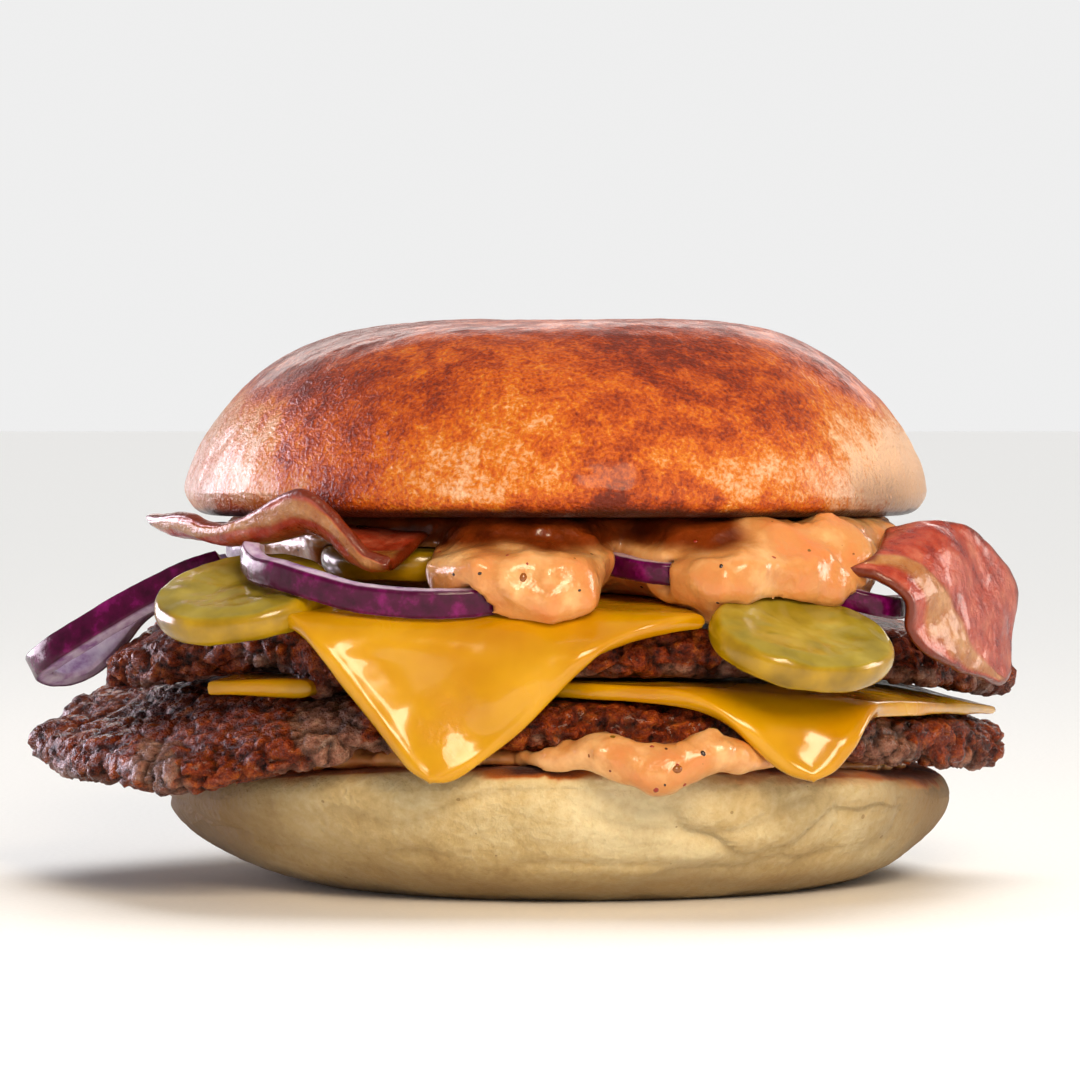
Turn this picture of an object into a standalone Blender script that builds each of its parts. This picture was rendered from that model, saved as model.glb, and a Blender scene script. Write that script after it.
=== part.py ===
"""A double cheeseburger in a soft roll, about 140 mm wide and 79 mm tall.

Metres, +Z up. The origin is the middle of the flat spot that the bottom bun rests on.
The side that people look at faces -Y. Every layer is a solid of its own, with a hair's gap to its neighbours.
"""

import math

import bmesh
import bpy
import numpy as np
from mathutils import Vector, noise

# The stack, as heights above the table in the middle of the burger
HEEL_TOP = 0.0195
SAUCE_LOWER_TOP = 0.0210
PATTY_LOWER_BASE = 0.0213
PATTY_LOWER_TOP = 0.0288
CHEESE_LOWER_BASE = 0.0292
PATTY_UPPER_BASE = 0.0318
PATTY_UPPER_TOP = 0.0392
CHEESE_UPPER_BASE = 0.0396
TOPPING_BASE = 0.0422
CROWN_CUT = 0.0522
CROWN_TOP = 0.0788
GAP = 0.0003

# Sizes of the single layers
HEEL_RADIUS = 0.0550
HEEL_CUT_EDGE = 0.0026
HEEL_POWER = 5.2
HEEL_RISE_POWER = 1.5
HEEL_OVERSHOOT = 0.0018
CROWN_RADIUS = 0.0522
CROWN_CUT_EDGE = 0.0032
CROWN_POWER = 3.9
CROWN_RISE_POWER = 1.5
PATTY_LOWER_RADIUS = 0.0540
PATTY_UPPER_RADIUS = 0.0522
PATTY_RIM = 0.0036
CHEESE_THICKNESS = 0.0022
CHEESE_BEND = 0.0048
CHEESE_CROWDING = 1.3
PICKLE_THICKNESS = 0.0040
BACON_THICKNESS = 0.0016
SAUCE_UPPER_RADIUS = 0.0465

# How far a layer sinks this far from the middle: at its left end, at its right end, and at front and back.
# The powers say how late it starts to sink to the left and to the right.
SAG_REACH = 0.055
RIGHT_POWER = 2.2
ALONG_POWER = 2.2
HEEL_SAG = (0.0052, 0.0050, 0.0004, 2.2)
LOWER_BASE_SAG = (0.0006, 0.0052, 0.0003, 4.5)
LOWER_SAG = (0.0006, 0.0052, 0.0014, 4.5)
UPPER_BASE_SAG = (0.0012, 0.0044, 0.0014, 5.5)
UPPER_SAG = (0.0015, 0.0044, 0.0021, 5.5)
CROWN_SAG = (0.0012, 0.0012, 0.0000, 2.2)
# Where nothing but air would lie under the upper patty it has settled: x, y, half-width and depth
SETTLED = ((-0.044, 0.014, 0.012, 0.0014), (0.058, 0.002, 0.010, 0.0009))

# Lobes of an outline: direction in degrees (0 is +X, 270 is the front), reach and half-width in degrees
PATTY_LOWER_LOBES = (
    (180, 0.0195, 28), (222, 0.0155, 20), (342, 0.0062, 22), (2, 0.0074, 9), (302, 0.0024, 14),
    (126, 0.0055, 22), (60, 0.0030, 16),
)
PATTY_UPPER_LOBES = (
    (197, 0.0118, 14), (167, 0.0050, 18), (218, 0.0036, 16), (3, 0.0118, 13), (340, 0.0050, 14),
    (140, 0.0040, 18), (74, 0.0030, 20),
)
# Places where a patty hangs down past the bun: direction, drop and half-width in degrees
PATTY_LOWER_DROOPS = ((222, 0.0056, 26), (190, 0.0036, 18), (165, -0.0006, 14), (345, -0.0004, 24))
PATTY_UPPER_DROOPS = ((200, 0.0044, 22),)
DROOP_START, DROOP_END = 0.048, 0.070

# The melted corners of cheese: how their edges are drawn in, and the ridges on what hangs, as their function says
UPPER_HOLLOWS = (("right", 0.62, 0.26, 0.056), ("left", 0.50, 0.25, -0.010))
UPPER_RIDGES = (
    (((-8.4, 28.4), (1.0, 34.2), (9.0, 37.6), (18.4, 38.0)), 0.0014, 0.0034),
    (((-24.0, 36.0), (-19.0, 29.0)), -0.0009, 0.0045),
    (((-17.6, 15.0), (-15.4, 20.0)), 0.0013, 0.0036),
)
LOWER_HOLLOWS = (("left", 0.28, 0.14, 0.026), ("right", 0.30, 0.14, 0.016))
LOWER_RIDGES = ((((34.0, 17.0), (38.0, 23.5)), 0.0010, 0.0034),)

MATERIALS = {
    # name: linear colour, roughness
    "heel_crust": ((0.62, 0.50, 0.30), 0.75),
    "crown_crust": ((0.52, 0.20, 0.03), 0.35),
    "seared_beef": ((0.080, 0.022, 0.012), 0.45),
    "melted_cheese": ((0.88, 0.42, 0.03), 0.25),
    "burger_sauce": ((0.82, 0.44, 0.22), 0.30),
    "pickle": ((0.30, 0.26, 0.02), 0.25),
    "red_onion": ((0.22, 0.01, 0.16), 0.25),
    "bacon": ((0.42, 0.09, 0.06), 0.35),
}


def smoothstep(low, high, value):
    """0 below low, 1 above high, with a soft rise between them."""
    t = np.clip((value - low) / (high - low), 0.0, 1.0)
    return t * t * (3.0 - 2.0 * t)


def bump(angle, middle, half_width):
    """A soft hill over an angle in degrees, 1 in its middle, that closes round the circle."""
    away = (angle - middle + 180.0) % 360.0 - 180.0
    return np.exp(-((away / half_width) ** 2))


def uneven(points, size, seed):
    """Smooth noise from about -1 to 1 at each point, with lumps of that size."""
    offset = Vector((seed * 7.31, seed * 3.17, seed * 5.73))
    return np.array([noise.noise(Vector(p) / size + offset) for p in points])


def crumbs(points, size, seed):
    """0 to about 1: high in the middle of each crumb of that size and low in the cracks between crumbs."""
    offset = Vector((seed * 2.9, seed * 6.1, seed * 4.3))
    near = [noise.voronoi(Vector(p) / size + offset)[0][0] for p in points]
    return 1.0 - np.array(near)


def sagged(height, sag, x, y):
    """The height of a layer at a place: its height in the middle, less what its ends sink."""
    left_drop, right_drop, along_drop, left_power = sag
    left = np.maximum(-np.asarray(x) / SAG_REACH, 0.0) ** left_power
    right = np.maximum(np.asarray(x) / SAG_REACH, 0.0) ** RIGHT_POWER
    along = np.abs(np.asarray(y) / SAG_REACH) ** ALONG_POWER
    return height - left_drop * left - right_drop * right - along_drop * along


def lobed_outline(radius, lobes, rough=0.0, seed=0):
    """A function of the angle in radians: a circle with lobes, torn by noise of the given depth."""

    def outline(angles):
        degrees = np.degrees(angles)
        reach = radius + sum(far * bump(degrees, middle, width) for middle, far, width in lobes)
        if rough:
            ring = np.stack([np.cos(angles), np.sin(angles), np.zeros_like(angles)], axis=1)
            reach = reach + rough * (uneven(ring, 0.16, seed) + 0.6 * uneven(ring, 0.07, seed + 1))
        return reach

    return outline


def mesh_object(name, points, faces, material):
    """An object from points and faces, shaded smooth, with faces pointing out."""
    mesh = bpy.data.meshes.new(name)
    mesh.from_pydata([tuple(p) for p in points], [], faces)
    work = bmesh.new()
    work.from_mesh(mesh)
    bmesh.ops.recalc_face_normals(work, faces=work.faces)
    bmesh.ops.triangulate(work, faces=work.faces)
    work.to_mesh(mesh)
    work.free()
    mesh.shade_smooth()
    mesh.materials.append(bpy.data.materials[material])
    made = bpy.data.objects.new(name, mesh)
    bpy.context.scene.collection.objects.link(made)
    return made


def make_materials():
    for name, (colour, roughness) in MATERIALS.items():
        material = bpy.data.materials.new(name)
        material.use_nodes = True
        shader = material.node_tree.nodes["Principled BSDF"]
        shader.inputs["Base Color"].default_value = (*colour, 1.0)
        shader.inputs["Roughness"].default_value = roughness
        shader.inputs["Metallic"].default_value = 0.0


def stacked_rings(name, rings, material):
    """A closed solid from rings of points, first and last ring shrunk to one point each."""
    count = len(rings[0])
    points = [rings[0].mean(axis=0), *np.concatenate(rings[1:-1]), rings[-1].mean(axis=0)]
    last = len(points) - 1
    faces = []
    for k in range(len(rings) - 3):
        for i in range(count):
            a = 1 + k * count + i
            b = 1 + k * count + (i + 1) % count
            faces.append((a, b, b + count, a + count))
    top = 1 + (len(rings) - 3) * count
    for i in range(count):
        following = (i + 1) % count
        faces.append((0, 1 + following, 1 + i))
        faces.append((last, top + i, top + following))
    return mesh_object(name, points, faces, material)


def push_out(made, depth):
    """Moves each point along its normal by what depth says for all the points at once."""
    mesh = made.data
    places = np.array([v.co for v in mesh.vertices])
    normals = np.array([v.normal for v in mesh.vertices])
    moved = places + normals * depth(places, normals)[:, None]
    mesh.vertices.foreach_set("co", moved.astype(np.float32).ravel())
    mesh.update()


def flat_cake(name, outline, base, top, rim, material, segments, flat_rings, rim_rings):
    """A cake with round rims: base and top are functions of x and y, rim is how far the rounding reaches in."""
    angles = np.linspace(0.0, 2.0 * math.pi, segments, endpoint=False)
    reach = outline(angles)
    rings = []

    def ring(inset, share):
        """share is 0 on the base and 1 on the top."""
        radius = np.maximum(reach - rim, 0.0) * inset[0] + inset[1]
        x, y = radius * np.cos(angles), radius * np.sin(angles)
        rings.append(np.stack([x, y, base(x, y) * (1.0 - share) + top(x, y) * share], axis=1))

    flats = np.linspace(0.0, 1.0, flat_rings + 1)
    for f in flats[:-1]:
        ring((f, 0.0), 0.0)
    for a in np.linspace(-math.pi / 2, math.pi / 2, rim_rings + 1):
        ring((1.0, rim * math.cos(a)), 0.5 + 0.5 * math.sin(a))
    for f in flats[::-1][1:]:
        ring((f, 0.0), 1.0)
    return stacked_rings(name, rings, material)


def bun_half(name, outline, cut, edge, depth, powers, up, material, segments, face_rings, edge_rings, dome_rings):
    """Half a bun: a cut face, a rounded cut edge, and a dome that rises (up = 1) or sinks (up = -1) from it.
    powers are how boxy its outline from the side is: sideways, a function of the angle, and upwards."""
    sideways, upwards = powers
    angles = np.linspace(0.0, 2.0 * math.pi, segments, endpoint=False)
    reach = outline(angles)
    rings = []

    def ring(radius, rise):
        x, y = radius * np.cos(angles), radius * np.sin(angles)
        rings.append(np.stack([x, y, cut(x, y) + up * rise(x, y)], axis=1))

    for f in np.linspace(0.0, 1.0, face_rings + 1)[:-1]:
        ring((reach - edge) * f, lambda x, y: 0.0 * x)
    for a in np.linspace(0.0, math.pi / 2, edge_rings + 1)[:-1]:
        ring(reach - edge * (1.0 - math.sin(a)), lambda x, y, a=a: edge * (1.0 - math.cos(a)) + 0.0 * x)
    for a in np.linspace(0.0, math.pi / 2, dome_rings + 1):
        share = math.sin(a) ** (2.0 / upwards)
        ring(reach * abs(math.cos(a)) ** (2.0 / sideways(angles)), lambda x, y, s=share: edge + depth(x, y) * s)
    if up < 0:
        rings.reverse()
    return stacked_rings(name, rings, material)


def smooth_path(stops, count):
    """Points evenly spread in number along a Catmull-Rom curve through the stops."""
    stops = np.array(stops, float)
    padded = np.concatenate([[2 * stops[0] - stops[1]], stops, [2 * stops[-1] - stops[-2]]])
    path = []
    for u in np.linspace(0.0, len(stops) - 1.0, count):
        k = min(int(u), len(stops) - 2)
        t = u - k
        a, b, c, d = padded[k : k + 4]
        path.append(
            0.5 * (2 * b + (c - a) * t + (2 * a - 5 * b + 4 * c - d) * t**2 + (3 * b - a - 3 * c + d) * t**3)
        )
    return np.array(path)


def distance_to_line(x, z, line):
    """Distance of each (x, z) to a line through points in millimetres."""
    best = np.full(len(x), 1.0)
    stops = np.array(line) * 0.001
    for (ax, az), (bx, bz) in zip(stops[:-1], stops[1:]):
        dx, dz = bx - ax, bz - az
        t = np.clip(((x - ax) * dx + (z - az) * dz) / (dx * dx + dz * dz), 0.0, 1.0)
        best = np.minimum(best, np.hypot(x - ax - t * dx, z - az - t * dz))
    return best


def tube(name, rings, material):
    """A closed solid from rings of points along a path, with each end closed by a fan."""
    count = len(rings[0])
    points = [rings[0].mean(axis=0), *np.concatenate(rings), rings[-1].mean(axis=0)]
    last = len(points) - 1
    faces = []
    for k in range(len(rings) - 1):
        for i in range(count):
            a = 1 + k * count + i
            b = 1 + k * count + (i + 1) % count
            faces.append((a, b, b + count, a + count))
    end = 1 + (len(rings) - 1) * count
    for i in range(count):
        following = (i + 1) % count
        faces.append((0, 1 + following, 1 + i))
        faces.append((last, end + i, end + following))
    return mesh_object(name, points, faces, material)


def sheet_solid(name, grid, thickness, material):
    """A closed solid of even thickness around a grid of mid-surface points, rows by columns by 3."""
    rows, columns = grid.shape[:2]
    down = np.gradient(grid, axis=0)
    along = np.gradient(grid, axis=1)
    normals = np.cross(down, along)
    normals /= np.linalg.norm(normals, axis=2, keepdims=True)
    half = np.full((rows, columns, 1), thickness / 2.0)
    upper = (grid + normals * half).reshape(-1, 3)
    lower = (grid - normals * half).reshape(-1, 3)
    count = rows * columns
    faces = []
    for r in range(rows - 1):
        for c in range(columns - 1):
            a = r * columns + c
            quad = (a, a + 1, a + columns + 1, a + columns)
            faces.append(quad)
            faces.append(tuple(count + i for i in reversed(quad)))
    border = [(0, c) for c in range(columns - 1)] + [(r, columns - 1) for r in range(rows - 1)]
    border += [(rows - 1, c) for c in range(columns - 1, 0, -1)] + [(r, 0) for r in range(rows - 1, 0, -1)]
    ids = [r * columns + c for r, c in border]
    for a, b in zip(ids, ids[1:] + ids[:1]):
        faces.append((b, a, count + a, count + b))
    return mesh_object(name, np.concatenate([upper, lower]), faces, material)


def boolean(target, operation, other):
    """Joins or cuts target with one other object, for good."""
    modifier = target.modifiers.new("Boolean", "BOOLEAN")
    modifier.operation = operation
    modifier.solver = "MANIFOLD"
    modifier.object = other
    bpy.context.view_layer.update()
    graph = bpy.context.evaluated_depsgraph_get()
    mesh = bpy.data.meshes.new_from_object(target.evaluated_get(graph))
    target.modifiers.clear()
    old = target.data
    target.data = mesh
    mesh.name = old.name
    bpy.data.meshes.remove(old)


def remove(made):
    mesh = made.data
    bpy.data.objects.remove(made)
    bpy.data.meshes.remove(mesh)


def keep_largest(made):
    """Drops the loose scraps that a cut leaves, and keeps the largest body."""
    work = bmesh.new()
    work.from_mesh(made.data)
    bodies, seen = [], set()
    for start in work.verts:
        if start in seen:
            continue
        body, queue = [], [start]
        seen.add(start)
        while queue:
            vertex = queue.pop()
            body.append(vertex)
            for edge in vertex.link_edges:
                other = edge.other_vert(vertex)
                if other not in seen:
                    seen.add(other)
                    queue.append(other)
        bodies.append(body)
    bodies.sort(key=len)
    scraps = [v for body in bodies[:-1] for v in body]
    bmesh.ops.delete(work, geom=scraps, context="VERTS")
    bmesh.ops.triangulate(work, faces=work.faces)
    work.to_mesh(made.data)
    work.free()


def thin_out(made, triangles):
    """Merges the smallest triangles that a cut leaves until about this many are left."""
    count = len(made.data.polygons)
    modifier = made.modifiers.new("Decimate", "DECIMATE")
    modifier.ratio = min(1.0, triangles / count)
    modifier.use_collapse_triangulate = True
    graph = bpy.context.evaluated_depsgraph_get()
    mesh = bpy.data.meshes.new_from_object(made.evaluated_get(graph))
    made.modifiers.clear()
    old = made.data
    made.data = mesh
    bpy.data.meshes.remove(old)


def clear_of(soft, *neighbours, gap=GAP):
    """Cuts soft back from its neighbours, each grown by the gap, as when one is pressed into the other."""
    for neighbour in neighbours:
        cutter = bpy.data.objects.new("cutter", neighbour.data.copy())
        bpy.context.scene.collection.objects.link(cutter)
        push_out(cutter, lambda places, normals: np.full(len(places), gap * 1.6))
        boolean(soft, "DIFFERENCE", cutter)
        remove(cutter)
    keep_largest(soft)


def heel_cut(x, y):
    return sagged(HEEL_TOP, HEEL_SAG, x, y)


def make_heel():
    """The bottom bun: pale, wide at its cut edge, round below, with soft folds and a flat spot to rest on."""
    outline = lobed_outline(HEEL_RADIUS, ((270, -0.0010, 40), (0, 0.0004, 20)))
    made = bun_half(
        "bun_heel", outline, heel_cut, HEEL_CUT_EDGE,
        lambda x, y: heel_cut(x, y) - HEEL_CUT_EDGE + HEEL_OVERSHOOT,
        (lambda angles: HEEL_POWER + np.cos(angles), HEEL_RISE_POWER),
        -1, "heel_crust", segments=46, face_rings=3, edge_rings=2, dome_rings=11,
    )

    def folds(places, normals):
        side = smoothstep(0.5, -0.3, normals[:, 2]) * smoothstep(-0.98, -0.6, normals[:, 2])
        soft = uneven(places * (1.0, 1.0, 1.8), 0.016, 3) * 0.0009
        crease = np.abs(uneven(places * (1.0, 1.0, 2.2), 0.024, 8))
        return side * (soft - 0.0012 * smoothstep(0.10, 0.0, crease))

    push_out(made, folds)
    for vertex in made.data.vertices:
        vertex.co.z = max(vertex.co.z, 0.0)
    return made


def make_crown():
    """The top bun: a glazed dome with a nearly flat top and steep sides."""
    outline = lobed_outline(CROWN_RADIUS, ((190, -0.0001, 30), (0, -0.0003, 30)))

    def cut(x, y):
        return sagged(CROWN_CUT, CROWN_SAG, x, y)

    made = bun_half(
        "bun_crown", outline, cut, CROWN_CUT_EDGE,
        lambda x, y: CROWN_TOP - CROWN_CUT - CROWN_CUT_EDGE + 0.0 * x,
        (lambda angles: CROWN_POWER, CROWN_RISE_POWER), 1,
        "crown_crust", segments=48, face_rings=3, edge_rings=3, dome_rings=10,
    )

    def dents(places, normals):
        skin = smoothstep(-0.6, 0.2, normals[:, 2])
        return skin * (uneven(places, 0.030, 5) * 0.0010 + uneven(places, 0.012, 6) * 0.0003)

    push_out(made, dents)
    return made


def droop(x, y, droops):
    """How far a patty's edge hangs down past the bun."""
    away = smoothstep(DROOP_START, DROOP_END, np.hypot(x, y))
    degrees = np.degrees(np.arctan2(y, x))
    return away * sum(fall * bump(degrees, middle, width) for middle, fall, width in droops)


def settled(x, y, settles):
    """How far the underside of a patty has sunk on to what lies below it."""
    return sum(
        depth * np.exp(-(((x - x0) / width) ** 2) - ((y - y0) / (2.0 * width)) ** 2)
        for x0, y0, width, depth in settles
    )


def make_patty(name, base, base_sag, top, top_sag, radius, lobes, droops, settles, seed):
    """A smashed beef patty: ragged and thin at its edge, crumbly round the rim."""
    outline = lobed_outline(radius, lobes, rough=0.0012, seed=seed)

    def lower(x, y):
        return sagged(base, base_sag, x, y) - droop(x, y, droops) - settled(x, y, settles)

    def upper(x, y):
        thin = 0.0012 * smoothstep(0.050, 0.072, np.hypot(x, y))
        return sagged(top, top_sag, x, y) - droop(x, y, droops) - thin

    made = flat_cake(
        name, outline, lower, upper, PATTY_RIM, "seared_beef", segments=72, flat_rings=4, rim_rings=5,
    )

    def crags(places, normals):
        rim = smoothstep(0.046, 0.056, np.hypot(places[:, 0], places[:, 1]))
        side = smoothstep(0.9, 0.3, np.abs(normals[:, 2]))
        grain = 0.0026 * (crumbs(places, 0.0066, seed) - 0.5)
        flat = smoothstep(0.75, 0.95, np.abs(normals[:, 2]))
        return np.maximum(rim, side * 0.8) * (grain * (1.0 - flat) + np.minimum(grain, 0.0) * flat)

    push_out(made, crags)
    return made


def make_cheese(name, corners, base, sag, folds, hollows, ridges, cells):
    """A slice laid on a patty. corners are its front, left, right and back corner when flat, and folds lists
    (direction in degrees, distance) of each line past which it melts down. hollows draw the edges beside the
    front corner in: which edge, place along it, half-width and depth, as shares of the slice. ridges are lines of
    (x, z) in millimetres on the part that hangs, each with its height and half-width."""
    share = np.linspace(0.0, 1.0, cells + 1) ** CHEESE_CROWDING
    u, v = np.meshgrid(share, share, indexing="ij")
    pull = 1.0 - 0.035 * ((2 * u - 1) ** 2) * ((2 * v - 1) ** 2)
    u, v = 0.5 + (u - 0.5) * pull, 0.5 + (v - 0.5) * pull
    for edge, middle, width, depth in hollows:
        if edge == "right":
            u = u + depth * np.exp(-(((v - middle) / width) ** 2)) * (1.0 - u) ** 2
        else:
            v = v + depth * np.exp(-(((u - middle) / width) ** 2)) * (1.0 - v) ** 2
    front, left, right, back = (np.array(c) * 0.001 for c in corners)
    u, v = u[..., None], v[..., None]
    flat = front * (1 - u) * (1 - v) + left * u * (1 - v) + right * (1 - u) * v + back * u * v
    x, y = flat[..., 0].copy(), flat[..., 1].copy()
    fall = np.zeros_like(x)
    for direction, distance in folds:
        out = np.array([math.cos(math.radians(direction)), math.sin(math.radians(direction))])
        past = np.maximum(x * out[0] + y * out[1] - distance, 0.0)
        steepest = math.radians(84.0)
        angle = np.minimum(past / CHEESE_BEND, steepest)
        straight = np.maximum(past - CHEESE_BEND * steepest, 0.0)
        reach = CHEESE_BEND * np.sin(angle) + straight * math.cos(steepest)
        x += out[0] * (reach - past)
        y += out[1] * (reach - past)
        fall += CHEESE_BEND * (1.0 - np.cos(angle)) + straight * math.sin(steepest)
    height = sagged(base + CHEESE_THICKNESS / 2.0, sag, x, y) - fall
    hangs = smoothstep(0.0010, 0.0050, fall)
    for line, swell, width in ridges:
        away = distance_to_line(x.ravel(), height.ravel(), line).reshape(x.shape)
        y = y - swell * hangs * np.exp(-((away / width) ** 2))
    grid = np.stack([x, y, height], axis=2)
    return sheet_solid(name, grid[:, ::-1], CHEESE_THICKNESS, "melted_cheese")


def make_cheeses():
    """The two slices, with a corner of each hanging at the front, and the end of a third between the patties."""
    upper = make_cheese(
        "cheese_upper", ((-17.0, -78.0), (-52.0, -29.0), (20.6, -53.2), (2.0, 26.0)),
        CHEESE_UPPER_BASE, UPPER_SAG, ((270.0, 0.0515),), UPPER_HOLLOWS, UPPER_RIDGES, 14,
    )
    lower = make_cheese(
        "cheese_lower", ((36.5, -64.0), (-24.7, -39.1), (63.3, -3.5), (8.0, 34.0)),
        CHEESE_LOWER_BASE, LOWER_SAG, ((282.0, 0.0540),), LOWER_HOLLOWS, LOWER_RIDGES, 14,
    )
    side = make_cheese(
        "cheese_side", ((-47.6, -39.8), (-43.6, -30.2), (-33.0, -43.5), (-28.0, -30.4)),
        CHEESE_LOWER_BASE - 0.0004, LOWER_SAG, (), (), (), 5,
    )
    return upper, lower, side


def make_pickle(name, centre, long_radius, short_radius, heading, tilt, seed):
    """A slice of gherkin: an oval disc with a rounded skin edge. heading is the way it slopes down, in degrees."""
    angles = np.linspace(0.0, 2.0 * math.pi, 24, endpoint=False)
    half = PICKLE_THICKNESS / 2.0
    rings = []
    for share, height in (
        (0.0, -1.0), (0.92, -1.0), (0.985, -0.7), (1.0, 0.0), (0.985, 0.7), (0.92, 1.0), (0.0, 1.0),
    ):
        x, y = long_radius * share * np.cos(angles), short_radius * share * np.sin(angles)
        rings.append(np.stack([x, y, np.full_like(x, height * half)], axis=1))
    made = stacked_rings(name, rings, "pickle")
    push_out(made, lambda places, normals: 0.0003 * uneven(places, 0.007, seed))
    lean = math.radians(tilt)
    towards = math.radians(heading)
    down = np.array([math.cos(towards), math.sin(towards), 0.0])
    short_axis = down * math.cos(lean) - np.array([0.0, 0.0, math.sin(lean)])
    long_axis = np.array([-down[1], down[0], 0.0])
    up_axis = np.cross(long_axis, -short_axis)
    frame = np.stack([long_axis, -short_axis, up_axis])
    places = np.array([v.co for v in made.data.vertices]) @ frame + np.array(centre)
    made.data.vertices.foreach_set("co", places.astype(np.float32).ravel())
    made.data.update()
    return made


def make_pickles():
    """The slices that show: one over each end of the front, one behind, and one at the back."""
    return (
        make_pickle("pickle_left", (-0.0422, -0.0430, 0.0411), 0.0122, 0.0118, 246.0, 21.0, 1),
        make_pickle("pickle_middle", (-0.0200, -0.0290, 0.0462), 0.0124, 0.0112, 268.0, 5.0, 2),
        make_pickle("pickle_right", (0.0322, -0.0525, 0.0358), 0.0134, 0.0108, 305.0, 27.0, 3),
        make_pickle("pickle_back", (0.0060, 0.0470, 0.0432), 0.0140, 0.0125, 84.0, 13.0, 4),
    )


def make_onion(name, stops, axis, layer, slice_height, count):
    """A strip of onion that follows its stops: as thick as one layer of the bulb, and as high as the slice was cut.
    axis is the direction of that height."""
    path = smooth_path(stops, count)
    axis = np.array(axis, float) / np.linalg.norm(axis)
    section = ((-0.5, -0.46), (0.38, -0.5), (0.5, -0.38), (0.54, 0.0), (0.5, 0.38), (0.38, 0.5), (-0.5, 0.46))
    tangents = np.gradient(path, axis=0)
    rings = []
    for k, (place, tangent) in enumerate(zip(path, tangents)):
        out = np.cross(tangent, axis)
        out /= np.linalg.norm(out)
        end = 0.55 + 0.45 * min(1.0, k / 2.0, (count - 1 - k) / 2.0)
        rings.append(
            np.array([place + out * (a * layer) + axis * (b * slice_height * end) for a, b in section])
        )
    return tube(name, rings, "red_onion")


def make_onions():
    """Strips of red onion. The left one makes a loop that pokes far out past the bun."""
    return (
        make_onion(
            "onion_left",
            (
                (-0.0462, -0.0230, 0.0456), (-0.0510, -0.0226, 0.0432), (-0.0580, -0.0213, 0.0397),
                (-0.0655, -0.0198, 0.0352), (-0.0702, -0.0178, 0.0322), (-0.0720, -0.0140, 0.0306),
                (-0.0700, -0.0104, 0.0296), (-0.0664, -0.0086, 0.0304), (-0.0628, -0.0080, 0.0334),
                (-0.0590, -0.0076, 0.0380), (-0.0550, -0.0072, 0.0408),
                (-0.0505, -0.0070, 0.0430), (-0.0458, -0.0072, 0.0446),
            ),
            (-0.44, 0.47, 0.77), 0.0028, 0.0041, 28,
        ),
        make_onion(
            "onion_middle",
            (
                (-0.0406, -0.0385, 0.0474), (-0.0412, -0.0420, 0.0465), (-0.0397, -0.0462, 0.0452),
                (-0.0366, -0.0497, 0.0446), (-0.0325, -0.0523, 0.0434), (-0.0255, -0.0546, 0.0417),
                (-0.0165, -0.0554, 0.0411), (-0.0085, -0.0535, 0.0416), (-0.0030, -0.0490, 0.0434),
                (-0.0005, -0.0440, 0.0448),
            ),
            (0.0, -0.20, 0.98), 0.0025, 0.0038, 24,
        ),
        make_onion(
            "onion_right",
            (
                (0.0060, -0.0370, 0.0462), (0.0085, -0.0430, 0.0456), (0.0130, -0.0462, 0.0448),
                (0.0190, -0.0452, 0.0444), (0.0270, -0.0415, 0.0438), (0.0350, -0.0402, 0.0424),
                (0.0420, -0.0408, 0.0404), (0.0458, -0.0360, 0.0396), (0.0458, -0.0290, 0.0402),
            ),
            (0.0, -0.12, 0.99), 0.0024, 0.0030, 22,
        ),
        make_onion(
            "onion_back",
            (
                (-0.0440, 0.0160, 0.0462), (-0.0470, 0.0270, 0.0456), (-0.0430, 0.0400, 0.0440),
                (-0.0340, 0.0500, 0.0426), (-0.0230, 0.0545, 0.0420), (-0.0130, 0.0520, 0.0440),
                (-0.0080, 0.0440, 0.0486), (-0.0060, 0.0340, 0.0500),
            ),
            (0.0, 0.15, 0.98), 0.0025, 0.0036, 20,
        ),
    )


def make_bacon(name, edges, rows, columns, seed):
    """A rasher as a wavy ribbon. edges are lines along it, in millimetres, from its front edge to its back edge."""
    lines = np.stack([smooth_path(edge, columns) for edge in edges], axis=1) * 0.001
    grid = np.stack([smooth_path(across, rows) for across in lines], axis=1)
    flat = grid.reshape(-1, 3)
    ripple = 0.0007 * uneven(flat, 0.009, seed) + 0.0003 * uneven(flat, 0.004, seed + 1)
    grid = grid + ripple.reshape(rows, columns, 1) * np.array([0.3, -0.5, 0.7])
    return sheet_solid(name, grid, BACON_THICKNESS, "bacon")


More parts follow.
